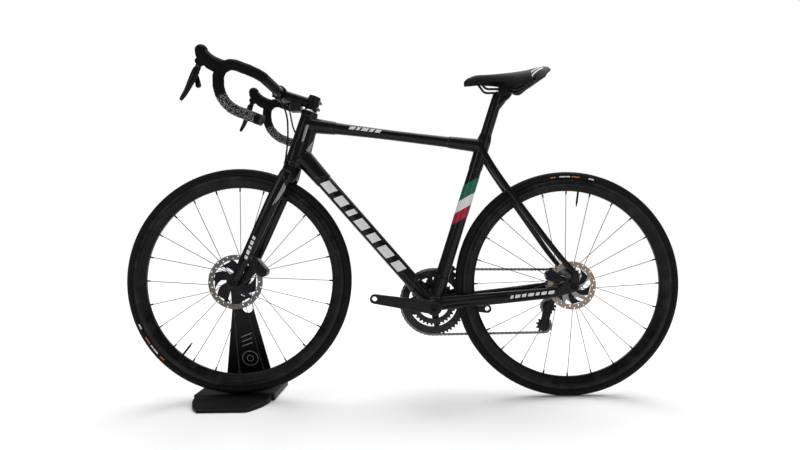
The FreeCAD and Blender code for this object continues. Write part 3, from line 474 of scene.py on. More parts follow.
def evenly(a, b, step):
    count = max(1, int((b - a).length / step))
    return [a.lerp(b, n / count) for n in range(1, count + 1)]


def frames_along(points):
    """Two directions square to the path at each point, without twist."""
    result = []
    side = None
    for k in range(len(points)):
        along = (points[min(k + 1, len(points) - 1)] - points[max(k - 1, 0)]).normalized()
        if side is None:
            side = along.cross(Vector((0, 0, 1))).normalized()
        side = (side - along * side.dot(along)).normalized()
        result.append((side, along.cross(side).normalized()))
    return result


def sweep(points, radius_at, around):
    """Tube whose radius depends on the length run so far and the angle."""
    verts, faces = [], []
    run = 0.0
    for k, (p, (u, w)) in enumerate(zip(points, frames_along(points))):
        if k:
            run += (p - points[k - 1]).length
        for n in range(around):
            angle = 2 * math.pi * n / around
            verts.append(p + (u * math.cos(angle) + w * math.sin(angle)) * radius_at(run, angle))
    for k in range(len(points) - 1):
        for n in range(around):
            m = (n + 1) % around
            faces.append((k * around + n, k * around + m, (k + 1) * around + m, (k + 1) * around + n))
    faces.append(tuple(range(around)))
    faces.append(tuple((len(points) - 1) * around + n for n in range(around)))
    return verts, faces


def turned(centre, profile, steps, start, sweep_angle):
    """Part of a turned surface about the Y axis through centre, from (radius, y) pairs."""
    verts, faces = [], []
    for k in range(steps + 1):
        a = start + sweep_angle * k / steps
        for r, y in profile:
            verts.append(Vector((centre.x + r * math.cos(a), y, centre.z + r * math.sin(a))))
    count = len(profile)
    for k in range(steps):
        here, there = k * count, (k + 1) * count
        for n in range(count - 1):
            faces.append((here + n, here + n + 1, there + n + 1, there + n))
    return verts, faces


def sleeve(p0, p1, r0, r1, along, steps):
    """Thin print once round a tapering tube, over a stretch of its length."""
    axis = (p1 - p0).normalized()
    side = Vector((0, -1, 0))
    up = axis.cross(side).normalized()
    length = (p1 - p0).length
    verts, faces = [], []
    for i in range(steps[0] + 1):
        s = along[0] + (along[1] - along[0]) * i / steps[0]
        radius = r0 + (r1 - r0) * s / length
        for j in range(steps[1] + 1):
            angle = math.radians(-180 + 360 * j / steps[1])
            verts.append(p0 + axis * s + (side * math.cos(angle) + up * math.sin(angle)) * radius)
    for i in range(steps[0]):
        for j in range(steps[1]):
            a = i * (steps[1] + 1) + j
            faces.append((a, a + 1, a + steps[1] + 2, a + steps[1] + 1))
    return verts, faces


def gather(parts):
    """Several (verts, faces) lists as one."""
    verts, faces = [], []
    for v, f in parts:
        base = len(verts)
        verts += v
        faces += [tuple(base + n for n in face) for face in f]
    return verts, faces


def prism(outline, y0, y1):
    """Closed outline in the XZ plane, extruded along Y."""
    n = len(outline)
    verts = [Vector((x, y0, z)) for x, z in outline] + [Vector((x, y1, z)) for x, z in outline]
    faces = [tuple(range(n)), tuple(range(2 * n - 1, n - 1, -1))]
    for k in range(n):
        m = (k + 1) % n
        faces.append((k, m, n + m, n + k))
    return verts, faces


def bolt(foot, direction, radius, height):
    """Domed round head with a hexagon socket."""
    profile = [(0.0, 0.35), (0.45, 0.35), (0.5, 1.0), (0.82, 1.0), (1.0, 0.72), (1.0, 0.0)]
    around = 18
    turn = direction.to_track_quat("Z", "Y").to_matrix()
    verts, faces = [], []
    for k, (r, h) in enumerate(profile):
        for n in range(around):
            a = 2 * math.pi * n / around
            reach = r * radius
            if 0 < k < 3:
                reach *= 0.93 + 0.07 * abs(math.cos(3 * a))
            verts.append(foot + turn @ Vector((reach * math.cos(a), reach * math.sin(a), h * height)))
    for k in range(len(profile) - 1):
        for n in range(around):
            m = (n + 1) % around
            here, there = k * around, (k + 1) * around
            faces.append((here + n, here + m, there + m, there + n))
    return verts, faces


# ---- frame and fork

DOWN = (Vector((-0.300, 0, 0.7286)), Vector((0.088, 0, 0.278)))
TOP_A, TOP_B = Vector((-0.285, 0, 0.8249)), Vector((0.236, 0, 0.7556))


def lug_sleeves():
    """Slightly larger sleeves over the tube ends, and the web behind the head tube."""
    down_axis = (DOWN[1] - DOWN[0]).normalized()
    top_axis = (TOP_B - TOP_A).normalized()
    return [
        (TOP_A, TOP_A + top_axis * 0.085, 0.0240, 0.0196),
        (TOP_B - top_axis * 0.095, TOP_B, 0.0180, 0.0208),
        (DOWN[0], DOWN[0] + down_axis * 0.098, 0.0280, 0.0250),
        (DOWN[1] - down_axis * 0.085, DOWN[1], 0.0238, 0.0250),
        (on_seat(0.0), on_seat(0.085), 0.0238, 0.0225),
        (on_seat(0.425), on_seat(0.517), 0.0204, 0.0214),
        (on_steer(-0.163), on_steer(-0.150), 0.0290, 0.0284),
        (on_steer(-0.006), on_steer(0.0075), 0.0250, 0.0246),
        (on_steer(-0.020) - AHEAD * 0.015, on_steer(-0.128) - AHEAD * 0.021, 0.0185, 0.0200),
    ]


def stay_edges():
    """Cores along the upper and lower edges of the chainstays, which keep them deep."""
    line = ((0.112, 0.0245, 0.285), (0.205, 0.030, 0.294), (0.300, 0.042, 0.303), (0.425, 0.0655, 0.317))
    offsets = (0.0130, 0.0115, 0.0105, 0.0080)
    cores = []
    for side in (-1, 1):
        for edge in (-1, 1):
            points = [Vector((x, side * y, z + edge * off)) for (x, y, z), off in zip(line, offsets)]
            cores += [(a, b, 0.0073, 0.0073) for a, b in zip(points, points[1:])]
    return cores


def build_frame():
    tubes = [
        "head_tube", "top_tube", "down_tube", "seat_tube", "bottom_bracket_shell",
        "chainstay_left", "chainstay_right", "seatstay_left", "seatstay_right",
    ]
    fork_nodes = ["fork_leg_left", "fork_leg_right", "fork_crown"]
    skin = soft_copy(tubes, "frame_skin", "frame", "carbon", 0.0014, 3, lug_sleeves() + stay_edges())
    fork = soft_copy(fork_nodes, "fork_skin", "fork", "carbon", 0.0014, 3)
    clamp = Vector((0.318, 0, 0.912))
    post = [
        (on_seat(0.622), clamp, 0.0165, 0.0130),
        (on_seat(0.516), on_seat(0.640), 0.0172, 0.0166),
        (on_seat(0.640), on_seat(0.661), 0.0166, 0.0160),
    ]
    soft_copy(["seatpost"], "seatpost_skin", "frame", "carbon", 0.0011, 4, post)
    wedge = melted("seat_wedge", [], 0.0008, 4, [(on_seat(0.512), on_seat(0.534), 0.0218, 0.0182)])
    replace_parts(add("seat_wedge", wedge, "frame", "carbon", "carbon"), "seat_collar")
    build_prints(skin, fork)


def decal(name, quads, target, body, material, steps=8):
    """Thin print: each four-cornered shape in the XZ plane is laid on both sides of target."""
    mesh = target.data
    tree = BVHTree.FromPolygons([v.co for v in mesh.vertices], [p.vertices[:] for p in mesh.polygons])
    verts, faces = [], []
    for side in (-1, 1):
        for quad in quads:
            lay(tree, quad, side, steps, verts, faces)
    add_shape(name, (verts, faces), body, material, target["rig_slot"])


def lay(tree, quad, side, steps, verts, faces):
    """Add a grid over one four-cornered shape, thrown onto the surface from one side."""
    a, b, c, d = (Vector((x, 0, z)) for x, z in quad)
    index = {}
    for i in range(steps + 1):
        for j in range(steps + 1):
            u, v = i / steps, j / steps
            p = a.lerp(b, u).lerp(d.lerp(c, u), v)
            hit, normal, _, _ = tree.ray_cast(Vector((p.x, side * PRINT_FROM, p.z)), Vector((0, -side, 0)))
            if hit is not None:
                index[i, j] = len(verts)
                verts.append(hit + normal * PRINT_LIFT)
    for i in range(steps):
        for j in range(steps):
            corners = [(i, j), (i + 1, j), (i + 1, j + 1), (i, j + 1)]
            if all(c in index for c in corners):
                faces.append(tuple(index[c] for c in corners))


def block_on(p0, axis, start, width, low, high, slant):
    """Four corners of a slanted block that lies along a tube seen from the side."""
    across = Vector((-axis.z, 0, axis.x))
    corners = []
    for s, h in ((start, low), (start + width, low), (start + width, high), (start, high)):
        p = p0 + axis * (s + slant * (h - low) / (high - low)) + across * h
        corners.append((p.x, p.z))
    return corners


def row_on(p0, p1, start, widths, gap, low, high, slant):
    """Slanted blocks of the given widths, one after the other along a tube."""
    axis = (p1 - p0).normalized()
    quads = []
    for width in widths:
        quads.append(block_on(p0, axis, start, width, low, high, slant))
        start += width + gap
    return quads


def build_prints(skin, fork):
    """Plain blocks, dashes and panels on both sides of frame and fork."""
    widths = (0.040, 0.034, 0.018, 0.038, 0.030, 0.042, 0.034)
    blocks = row_on(*DOWN, 0.100, widths, 0.019, -0.0125, 0.0135, 0.010)
    decal("down_tube_blocks", blocks, skin, "frame", "white")
    dashes = row_on(TOP_A, TOP_B, 0.127, (0.016, 0.010, 0.020, 0.012, 0.016), 0.005, 0.000, 0.0095, 0.006)
    decal("top_tube_dashes", dashes, skin, "frame", "white", 4)
    low, high = Vector((0.312, 0, 0.3045)), Vector((0.452, 0, 0.3235))
    widths = (0.008, 0.014, 0.012, 0.016, 0.010, 0.014, 0.016)
    stay = row_on(low, high, 0.0, widths, 0.0055, -0.0045, 0.0045, 0.004)
    decal("chainstay_dashes", stay, skin, "frame", "white", 3)
    low, high = Vector((-0.428, 0, 0.492)), Vector((-0.460, 0, 0.410))
    leg = row_on(low, high, 0.0, (0.009, 0.011, 0.008, 0.012, 0.009), 0.005, -0.0045, 0.0045, 0.003)
    decal("fork_dashes", leg, fork, "fork", "white", 3)
    lug = [
        ((-0.2755, 0.8215), (-0.2855, 0.8190), (-0.2985, 0.7690), (-0.2925, 0.7720)),
        ((-0.2610, 0.7930), (-0.2665, 0.7760), (-0.2860, 0.7450), (-0.2760, 0.7365)),
    ]
    decal("head_lug_panels", lug, skin, "frame", "fibre")
    crown = [((-0.3445, 0.6480), (-0.3405, 0.6270), (-0.3675, 0.5900), (-0.3800, 0.5790))]
    decal("fork_panels", crown, fork, "fork", "fibre")
    build_lug_lines(skin)
    build_seat_tube_bands()


def build_lug_lines(skin):
    """Fine pale lines where the lug sleeves end."""
    down_axis = (DOWN[1] - DOWN[0]).normalized()
    length = (DOWN[1] - DOWN[0]).length
    lines = [
        block_on(DOWN[0], down_axis, 0.076, 0.0016, -0.017, 0.019, 0.020),
        block_on(DOWN[0], down_axis, length - 0.075, 0.0016, -0.017, 0.017, -0.022),
        block_on(DOWN[0], down_axis, length - 0.042, 0.0014, -0.012, 0.014, 0.030),
        block_on(TOP_A, (TOP_B - TOP_A).normalized(), 0.080, 0.0012, -0.012, 0.012, -0.014),
        block_on(TOP_B, (TOP_A - TOP_B).normalized(), 0.092, 0.0012, -0.012, 0.012, 0.010),
        block_on(on_steer(-0.152), AHEAD, -0.019, 0.038, 0.0, 0.0014, 0.0),
    ]
    decal("lug_lines", lines, skin, "frame", "dim_line", 6)


def build_seat_tube_bands():
    """Three slanted stripes once round the seat tube."""
    low_end, high_end = on_seat(0.0), on_seat(0.517)
    for low, high, colour in ((0.262, 0.300, "red"), (0.300, 0.338, "white"), (0.338, 0.388, "green")):
        verts, faces = sleeve(low_end, high_end, BAND_R[0], BAND_R[1], (low, high), (6, 48))
        slanted = []
        for v in verts:
            off_axis = v - low_end - SEAT_UP * (v - low_end).dot(SEAT_UP)
            slanted.append(v + SEAT_UP * (BAND_SLANT * off_axis.x))
        add_shape("seat_tube_band_" + colour, (slanted, faces), "frame", colour, "carbon")


# ---- bar, tape, hoods

BAR_RISE = 21.0
BAR_REACH = 0.107
BAR_BENDS = (0.038, 0.035, 0.086)
SPECKLED = (0.715, 0.965)


def bar_corners(first_y):
    """Corners of the left half of the bar, from first_y out to its end."""
    front_x = BAR_CENTRE.x - BAR_REACH
    top_z = BAR_CENTRE.z + BAR_REACH * math.tan(math.radians(BAR_RISE))
    return [
        Vector((BAR_CENTRE.x, first_y, BAR_CENTRE.z)),
        Vector((BAR_CENTRE.x, -BAR_HALF, BAR_CENTRE.z)),
        Vector((front_x, -BAR_HALF - 0.002, top_z)),
        Vector((front_x, -BAR_HALF - 0.005, top_z - 0.119)),
        Vector((front_x + 0.112, -BAR_HALF - 0.007, top_z - 0.164)),
    ]


def build_tape(side):
    """Spiral of overlapping tape with its speckled stretch, and the plug in the bar's end."""
    word = "right" if side > 0 else "left"
    points = filleted(bar_corners(-0.062), BAR_BENDS, 0.0022)
    if side > 0:
        points = [Vector((p.x, -p.y, p.z)) for p in points]
    total = sum((b - a).length for a, b in zip(points, points[1:]))

    def radius(run, angle):
        phase = (run / TAPE_WRAP - side * angle / (2 * math.pi)) % 1.0
        step = TAPE_STEP * (1 - phase) if phase > 0.08 else TAPE_STEP * phase / 0.08
        ends = min(1.0, run / 0.004, (total - run) / 0.004 + 0.3)
        return 0.0126 + (0.0015 + step) * max(ends, 0.2)

    name = "tape_" + word
    mesh = from_lists(name, *sweep(points, radius, TAPE_AROUND))
    mask = mesh.attributes.new("speckle", "FLOAT", "POINT")
    run = 0.0
    for k, p in enumerate(points):
        run += (p - points[k - 1]).length if k else 0.0
        inside = SPECKLED[0] * total < run < SPECKLED[1] * total
        for n in range(TAPE_AROUND):
            mask.data[k * TAPE_AROUND + n].value = 1.0 if inside else 0.0
    tape = add(name, mesh, "fork", "tape", "tape")
    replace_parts(tape, "bar_tape_" + word)
    direction = (points[-1] - points[-2]).normalized()
    add_shape(name + "_plug", bolt(points[-1], direction, 0.0142, 0.005), "fork", "pulley_plastic", "tape")


def build_hood(side):
    word = "right" if side > 0 else "left"
    soft_copy(["hood_" + word], "hood_skin_" + word, "fork", "hood_rubber", 0.0009, 10)
    soft_copy(["brake_lever_" + word], "lever_skin_" + word, "lever_" + word, "lever_black", 0.0008, 5)
    soft_copy(["shift_paddle_" + word], "paddle_skin_" + word, "paddle_" + word, "lever_black", 0.0005, 3)


def build_headset_ring():
    """Thin bright ring between the head tube and its cover."""
    centre = on_steer(0.0092)
    square = STEER_UP.cross(Vector((0, 1, 0)))
    ring_r, wire_r, steps, around = 0.0232, 0.0009, 48, 8
    verts, faces = [], []
    for k in range(steps):
        a = 2 * math.pi * k / steps
        out = Vector((0, math.cos(a), 0)) + square * math.sin(a)
        for n in range(around):
            b = 2 * math.pi * n / around
            verts.append(centre + out * (ring_r + wire_r * math.cos(b)) + STEER_UP * wire_r * math.sin(b))
            here, there, m = k * around, (k + 1) % steps * around, (n + 1) % around
            faces.append((here + n, here + m, there + m, there + n))
    add_shape("headset_ring", (verts, faces), "frame", "bright_steel", "bright_steel")


def build_stem_screws():
    """The cap's screw, and two on each side of the clamp behind the steerer."""
    heads = [bolt(on_steer(0.058), STEER_UP, 0.0052, 0.0025)]
    behind = Vector((STEER_UP.z, 0, -STEER_UP.x)) * 0.020
    for s in (0.024, 0.044):
        for side in (-1, 1):
            foot = on_steer(s) + behind + Vector((0, side * 0.0108, 0))
            heads.append(bolt(foot, Vector((0, side, 0)), 0.0038, 0.0022))
    add_shape("stem_screws", gather(heads), "fork", "chain_steel", "bright_steel")


def build_cockpit():
    for side in (-1, 1):
        build_tape(side)
        build_hood(side)
    soft_copy(["stem"], "stem_skin", "fork", "black_metal", 0.0010, 5)
    soft_copy(["stem_faceplate"], "faceplate_skin", "fork", "black_metal", 0.0007, 3)
    soft_copy(["junction_box"], "junction_skin", "fork", "pulley_plastic", 0.0008, 5)
    build_headset_ring()
    build_stem_screws()


# ---- drive

def chain_route():
    """Stops of the chain as (centre, radius, turning sense)."""
    def radius(teeth):
        return PITCH / (2 * math.sin(math.pi / teeth))
    ring, pulley, sprocket = radius(RING_TEETH), radius(PULLEY_TEETH), radius(SPROCKET_TEETH)
    return [(BB, ring, 1), (TENSION, pulley, 1), (GUIDE, pulley, -1), (REAR, sprocket, 1)]


def chain_spans(stops):
    spans = []
    for k, (c1, r1, s1) in enumerate(stops):
        c2, r2, s2 = stops[(k + 1) % len(stops)]
        dx, dz = c2.x - c1.x, c2.z - c1.z
        heading = math.atan2(dz, dx) - math.asin((s2 * r2 - s1 * r1) / math.hypot(dx, dz))
        nx, nz = -math.sin(heading), math.cos(heading)
        spans.append(((c1.x - nx * s1 * r1, c1.z - nz * s1 * r1), (c2.x - nx * s2 * r2, c2.z - nz * s2 * r2)))
    return spans


def chain_line():
    """Dense closed polyline of the chain's pitch line in the XZ plane."""
    stops = chain_route()
    spans = chain_spans(stops)
    line = []
    for k, (centre, radius, sense) in enumerate(stops):
        arrive, leave = spans[k - 1][1], spans[k][0]
        a0 = math.atan2(arrive[1] - centre.z, arrive[0] - centre.x)
        a1 = math.atan2(leave[1] - centre.z, leave[0] - centre.x)
        turn = (a1 - a0) * sense % (2 * math.pi)
        count = max(8, int(turn * radius / 0.001))
        for n in range(count):
            a = a0 + sense * turn * n / count
            line.append((centre.x + radius * math.cos(a), centre.z + radius * math.sin(a)))
        end = spans[k][1]
        count = int(math.hypot(end[0] - leave[0], end[1] - leave[1]) / 0.001) + 1
        for n in range(count):
            t = n / count
            line.append((leave[0] + (end[0] - leave[0]) * t, leave[1] + (end[1] - leave[1]) * t))
    return line


def pins_along(line):
    """Evenly spaced chain pins, an even number of links round the loop."""
    lengths = [math.dist(line[k], line[(k + 1) % len(line)]) for k in range(len(line))]
    total = sum(lengths)
    links = 2 * round(total / PITCH / 2)
    pins = []
    run, k = 0.0, 0
    for n in range(links):
        target = total * n / links
        while run + lengths[k] < target:
            run += lengths[k]
            k += 1
        t = (target - run) / lengths[k]
        a, b = line[k], line[(k + 1) % len(line)]
        pins.append((a[0] + (b[0] - a[0]) * t, a[1] + (b[1] - a[1]) * t))
    return pins


def link_plate(a, b, end, waist, y0, y1):
    """Figure-of-eight plate between two pins."""
    heading = math.atan2(b[1] - a[1], b[0] - a[0])
    middle = ((a[0] + b[0]) / 2, (a[1] + b[1]) / 2)
    outline = []
    for centre, turn in ((b, 0.0), (a, math.pi)):
        for n in range(9):
            angle = heading + turn - math.radians(115) + math.radians(230) * n / 8
            outline.append((centre[0] + end * math.cos(angle), centre[1] + end * math.sin(angle)))
        side = heading + turn + math.pi / 2
        outline.append((middle[0] + waist * math.cos(side), middle[1] + waist * math.sin(side)))
    return prism(outline, y0, y1)


def round_pin(centre, radius, y0, y1, sides=12):
    outline = [(centre[0] + radius * math.cos(2 * math.pi * n / sides),
                centre[1] + radius * math.sin(2 * math.pi * n / sides)) for n in range(sides)]
    return prism(outline, y0, y1)


def meets_teeth(pin):
    """Whether the teeth of a wheel can turn through this pin's place."""
    return any(math.dist(pin, (c.x, c.z)) < radius + TOOTH_ROOM for c, radius, _ in chain_route())


def build_chain():
    """Side plates with short pin ends, and rollers wherever no tooth passes."""
    pins = pins_along(chain_line())
    parts = []
    for k, pin in enumerate(pins):
        after = pins[(k + 1) % len(pins)]
        inner = k % 2 == 0
        near, far = INNER_PLATE if inner else OUTER_PLATE
        for side in (-1, 1):
            y0, y1 = sorted((CHAIN_Y + side * near, CHAIN_Y + side * far))
            parts.append(link_plate(pin, after, 0.0041 if inner else 0.0039, 0.0029, y0, y1))
        for side in (-1, 1):
            y0, y1 = sorted((CHAIN_Y + side * PIN_END[0], CHAIN_Y + side * PIN_END[1]))
            parts.append(round_pin(pin, PIN_R, y0, y1))
        if not meets_teeth(pin):
            parts.append(round_pin(pin, ROLLER_R, CHAIN_Y - PIN_END[0], CHAIN_Y + PIN_END[0]))
    links = add_shape("chain_links", gather(parts), "frame", "chain_steel", "bright_steel", smooth=False)
    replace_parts(links, "chain")


def build_drive():
    build_chain()
    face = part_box("crank_arm_left")[0].y
    boss = [(Vector((BB.x, face, BB.z)), Vector((BB.x, face + 0.016, BB.z)), 0.0215, 0.0245)]
    soft_copy(["crank_arm_left"], "crank_left_skin", "crankset", "crank", 0.0011, 3, boss)
    soft_copy(["crank_arm_right"], "crank_right_skin", "crankset", "crank", 0.0011, 3)
    soft_copy(["rear_derailleur"], "rear_derailleur_skin", "frame", "brake_black", 0.0007, 3)
    soft_copy(["front_derailleur"], "front_derailleur_skin", "frame", "brake_black", 0.0006, 2)
    head = bolt(Vector((BB.x, face + 0.0004, BB.z)), Vector((0, -1, 0)), 0.0125, 0.003)
    add_shape("crank_bolt", head, "crankset", "black_metal", "black_metal")


# ---- brakes

def fins(centre, y, outer, width, lean):
    """Six swept cooling fins inside the brake band. width and lean are in radians."""
    inner, count = 0.022, 6
    shares = [t / FIN_STEPS for t in range(FIN_STEPS + 1)]

    def at(turn, share, spread):
        r = inner + (outer - inner) * share
        a = turn + lean * share ** 1.3 + spread
        return centre.x + r * math.cos(a), centre.z + r * math.sin(a)

    parts = []
    for k in range(count):
        turn = 2 * math.pi * k / count
        outline = [at(turn, share, 0.0) for share in shares]
        outline += [at(turn, share, width * (0.75 + 0.25 * share)) for share in reversed(shares)]
        parts.append(prism(outline, y - FIN_HALF, y + FIN_HALF))
    return gather(parts)


def middle_y(node):
    low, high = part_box(node)
    return (low.y + high.y) / 2


def build_brakes():
    front = fins(FRONT, middle_y("front_rotor"), 0.0655, 0.80, 0.62)
    add_shape("front_rotor_fins", front, "front_wheel", "brake_black", "rotor_steel", smooth=False)
    y = middle_y("rear_rotor")
    rear = fins(REAR, y, 0.0550, 0.62, 0.50)
    add_shape("rear_rotor_fins", rear, "rear_wheel", "brake_black", "rotor_steel", smooth=False)
    edges = fins(REAR, y - 0.0003, 0.0550, 0.055, 0.50)
    add_shape("rear_rotor_edges", edges, "rear_wheel", "bright_steel", "rotor_steel", smooth=False)
    soft_copy(["front_caliper"], "front_caliper_skin", "fork", "brake_black", 0.0007, 3)
    soft_copy(["rear_caliper"], "rear_caliper_skin", "frame", "brake_black", 0.0007, 3)


# ---- saddle

def slope(table, k):
    """Slope at entry k of a table, from its neighbours."""
    (x0, v0), (x1, v1) = table[max(k - 1, 0)], table[min(k + 1, len(table) - 1)]
    return (v1 - v0) / (x1 - x0)


def eased(x, table):
    """Smooth value of a short table of (x, value) pairs."""
    x = max(table[0][0], min(table[-1][0], x))
    k = max(i for i in range(len(table) - 1) if table[i][0] <= x)
    (x0, v0), (x1, v1) = table[k], table[k + 1]
    step = x1 - x0
    t = (x - x0) / step
    turn = t * t * (3 - 2 * t)
    leave = t * (1 - t) ** 2 * step * slope(table, k)
    arrive = t * t * (1 - t) * step * slope(table, k + 1)
    return v0 + (v1 - v0) * turn + leave - arrive


SADDLE_FROM, SADDLE_TO = 0.190, 0.447
CHANNEL_FROM, CHANNEL_TO, CHANNEL_FADE = 0.225, 0.415, 0.03
CHANNEL_DEPTH, CHANNEL_HALF = 0.0028, 0.0075
PAD_THICKNESS = 0.011
SADDLE_HALF = [(0.190, 0.006), (0.196, 0.0145), (0.215, 0.0195), (0.265, 0.0225), (0.310, 0.033),
               (0.350, 0.052), (0.385, 0.066), (0.412, 0.0695), (0.434, 0.058), (0.447, 0.030)]
SADDLE_TOP = [(0.190, 0.951), (0.200, 0.960), (0.229, 0.970), (0.280, 0.973), (0.334, 0.976),
              (0.378, 0.981), (0.420, 0.989), (0.447, 0.985)]
SADDLE_DROP = [(0.190, 0.012), (0.205, 0.021), (0.240, 0.027), (0.290, 0.031), (0.325, 0.038),
               (0.350, 0.054), (0.370, 0.055), (0.392, 0.042), (0.414, 0.032), (0.434, 0.019), (0.447, 0.008)]


def saddle_z(x, share):
    """Height of the cover at a share of the half width, with a shallow channel along the middle."""
    top = eased(x, SADDLE_TOP)
    drop = eased(x, SADDLE_DROP)
    begun = max(0.0, min(1.0, (x - CHANNEL_FROM) / CHANNEL_FADE))
    left = max(0.0, min(1.0, (CHANNEL_TO - x) / CHANNEL_FADE))
    channel = CHANNEL_DEPTH * math.exp(-(share * eased(x, SADDLE_HALF) / CHANNEL_HALF) ** 2)
    return top - drop * abs(share) ** 2.9 - channel * (begun * left)


def build_saddle():
    """Top skin and underside of the cover, joined along their edge."""
    rows, cols = 64, 40
    shares = [math.sin(math.pi / 2 * (2 * j / cols - 1)) for j in range(cols + 1)]
    verts, faces = [], []
    for i in range(rows + 1):
        t = i / rows
        x = SADDLE_FROM + (SADDLE_TO - SADDLE_FROM) * (t - 0.06 * math.sin(2 * math.pi * t))
        half = eased(x, SADDLE_HALF)
        verts += [Vector((x, share * half, saddle_z(x, share))) for share in shares]
    under = len(verts)
    for i in range(rows + 1):
        for j, share in enumerate(shares):
            v = verts[i * (cols + 1) + j]
            if i in (0, rows) or j in (0, cols):
                verts.append(v.copy())
            else:
                verts.append(Vector((v.x, v.y * 0.985, v.z - PAD_THICKNESS * (1 - abs(share) ** 6))))
    for base, flip in ((0, False), (under, True)):
        for i in range(rows):
            for j in range(cols):
                a = base + i * (cols + 1) + j
                quad = (a, a + cols + 1, a + cols + 2, a + 1)
                faces.append(tuple(reversed(quad)) if flip else quad)
    mesh = from_lists("saddle_cover", verts, faces)
    bm = bmesh.new()
    bm.from_mesh(mesh)
    bmesh.ops.remove_doubles(bm, verts=bm.verts, dist=0.00005)
    bm.to_mesh(mesh)
    bm.free()
    cover = add("saddle_cover", mesh, "frame", "saddle_cover", "saddle_cover")
    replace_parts(cover, "saddle")
    build_saddle_bars()
    build_saddle_edge()


def draped(x, y, lift):
    share = max(-1.0, min(1.0, y / eased(x, SADDLE_HALF)))
    return Vector((x, y, saddle_z(x, share) + lift))


def ribbon(rows):
    """Strip through rows of three points each."""
    faces = []
    for n in range(len(rows) - 1):
        for k in (0, 1):
            a = 3 * n + k
            faces.append((a, a + 1, a + 4, a + 3))
    return [v for row in rows for v in row], faces


def build_saddle_bars():
    """Two pale bars on each rear wing."""
    parts = []
    steps = 12
    for side in (-1, 1):
        for inner in (0.045, 0.055):
            rows = []
            for n in range(steps + 1):
                x = 0.384 + 0.034 * n / steps
                y = inner - 0.004 * n / steps
                rows.append([draped(x, side * (y + width), 0.0007) for width in (0, 0.0028, 0.0056)])
            parts.append(ribbon(rows))
    add_shape("saddle_bars", gather(parts), "frame", "white", "saddle_cover")


def build_saddle_edge():
    """Pale edge across the tail."""
    steps = 40
    rows = []
    for n in range(steps + 1):
        share = -0.96 + 1.92 * n / steps
        rows.append([draped(x, share * eased(x, SADDLE_HALF), 0.0008) for x in (0.4350, 0.4400, 0.4455)])
    add_shape("saddle_tail_edge", ribbon(rows), "frame", "grey_line", "saddle_cover")


# ---- wheels

def tyre_marks(name, centre):
    """Short plain dashes on both sidewalls."""
    centre_r = WHEEL_R - TYRE_TUBE
    reach = TYRE_TUBE + MARK_LIFT
    tilts = [math.radians(-18 + 5 * step) for step in range(4)]
    orange = ((0.0, 0.05), (-0.20, 0.075))
    white = ((-0.085, 0.06), (-0.15, 0.035), (-0.36, 0.05))
    for colour, dashes in (("orange", orange), ("white", white)):
        parts = []
        for offset, length in dashes:
            a = MARK_START[name] + offset
            for side in (-1, 1):
                profile = [(centre_r + reach * math.sin(b), side * reach * math.cos(b)) for b in tilts]
                parts.append(turned(centre, profile, 8, a - length, length))
        add_shape(name + "_marks_" + colour, gather(parts), name + "_wheel", colour, "tyre")


def nipple_r(run, angle):
    return 0.0024 if run < 0.004 else 0.0019


def nipples(name, centre):
    """Spoke nipples round the inner edge of the rim."""
    parts = []
    for k in range(SPOKES):
        a = math.radians(VALVE_ANGLE[name]) + 2 * math.pi * (k + 0.5) / SPOKES
        out = Vector((math.cos(a), 0, math.sin(a)))
        foot = centre + out * NIPPLE_FOOT
        parts.append(sweep([foot, foot - out * 0.004, foot - out * 0.0105], nipple_r, 10))
    add_shape(name + "_nipples", gather(parts), name + "_wheel", "black_metal", "black_metal")


def build_wheels():
    for make in (tyre_marks, nipples):
        make("front", FRONT)
        make("rear", REAR)


# ---- hoses

def widest(corners):
    """Bend radii that use 45 percent of the shorter run beside each corner."""
    radii = []
    for k in range(1, len(corners) - 1):
        back, ahead = corners[k - 1] - corners[k], corners[k + 1] - corners[k]
        half_turn = (math.pi - back.angle(ahead)) / 2
        radii.append(0.45 * min(back.length, ahead.length) / math.tan(half_turn))
    return radii


def build_hoses():
    """The rear hose, which bends between bar and frame. The front one stays as it is."""
    route = ((-0.360, 0.066, 0.905), (-0.345, 0.040, 0.856), (-0.334, 0.022, 0.818), (-0.314, 0.008, 0.786))
    corners = [Vector(p) for p in route]
    points = filleted(corners, widest(corners), 0.003)
    mesh = from_lists("rear_hose_skin", *sweep(points, lambda run, angle: HOSE_R, 16))
    hose = place("rear_hose_skin", mesh, "hose", "hose")
    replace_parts(hose, "rear_brake_hose")
    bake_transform(hose)


# ---- stand

def plate_point(x, s, lift=0.0006):
    """A point on the near face of the leaning plate, s up from its foot."""
    foot = Vector((0, 0.128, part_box("stand_upright")[0].z))
    top = Vector((0, 0.042, 0.346))
    up = (top - foot).normalized()
    out = Vector((0, -up.z, up.y))
    p = foot + up * s + out * lift
    return Vector((x, p.y, p.z))


def line_on_plate(points, width):
    """Flat line through (x, s) points of the plate."""
    verts, faces = [], []
    for k, (x, s) in enumerate(points):
        before = points[max(k - 1, 0)]
        after = points[min(k + 1, len(points) - 1)]
        dx, ds = after[0] - before[0], after[1] - before[1]
        size = math.hypot(dx, ds)
        nx, ns = -ds / size * width / 2, dx / size * width / 2
        verts += [plate_point(x + nx, s + ns), plate_point(x - nx, s - ns)]
    for k in range(len(points) - 1):
        faces.append((2 * k, 2 * k + 1, 2 * k + 3, 2 * k + 2))
    return verts, faces


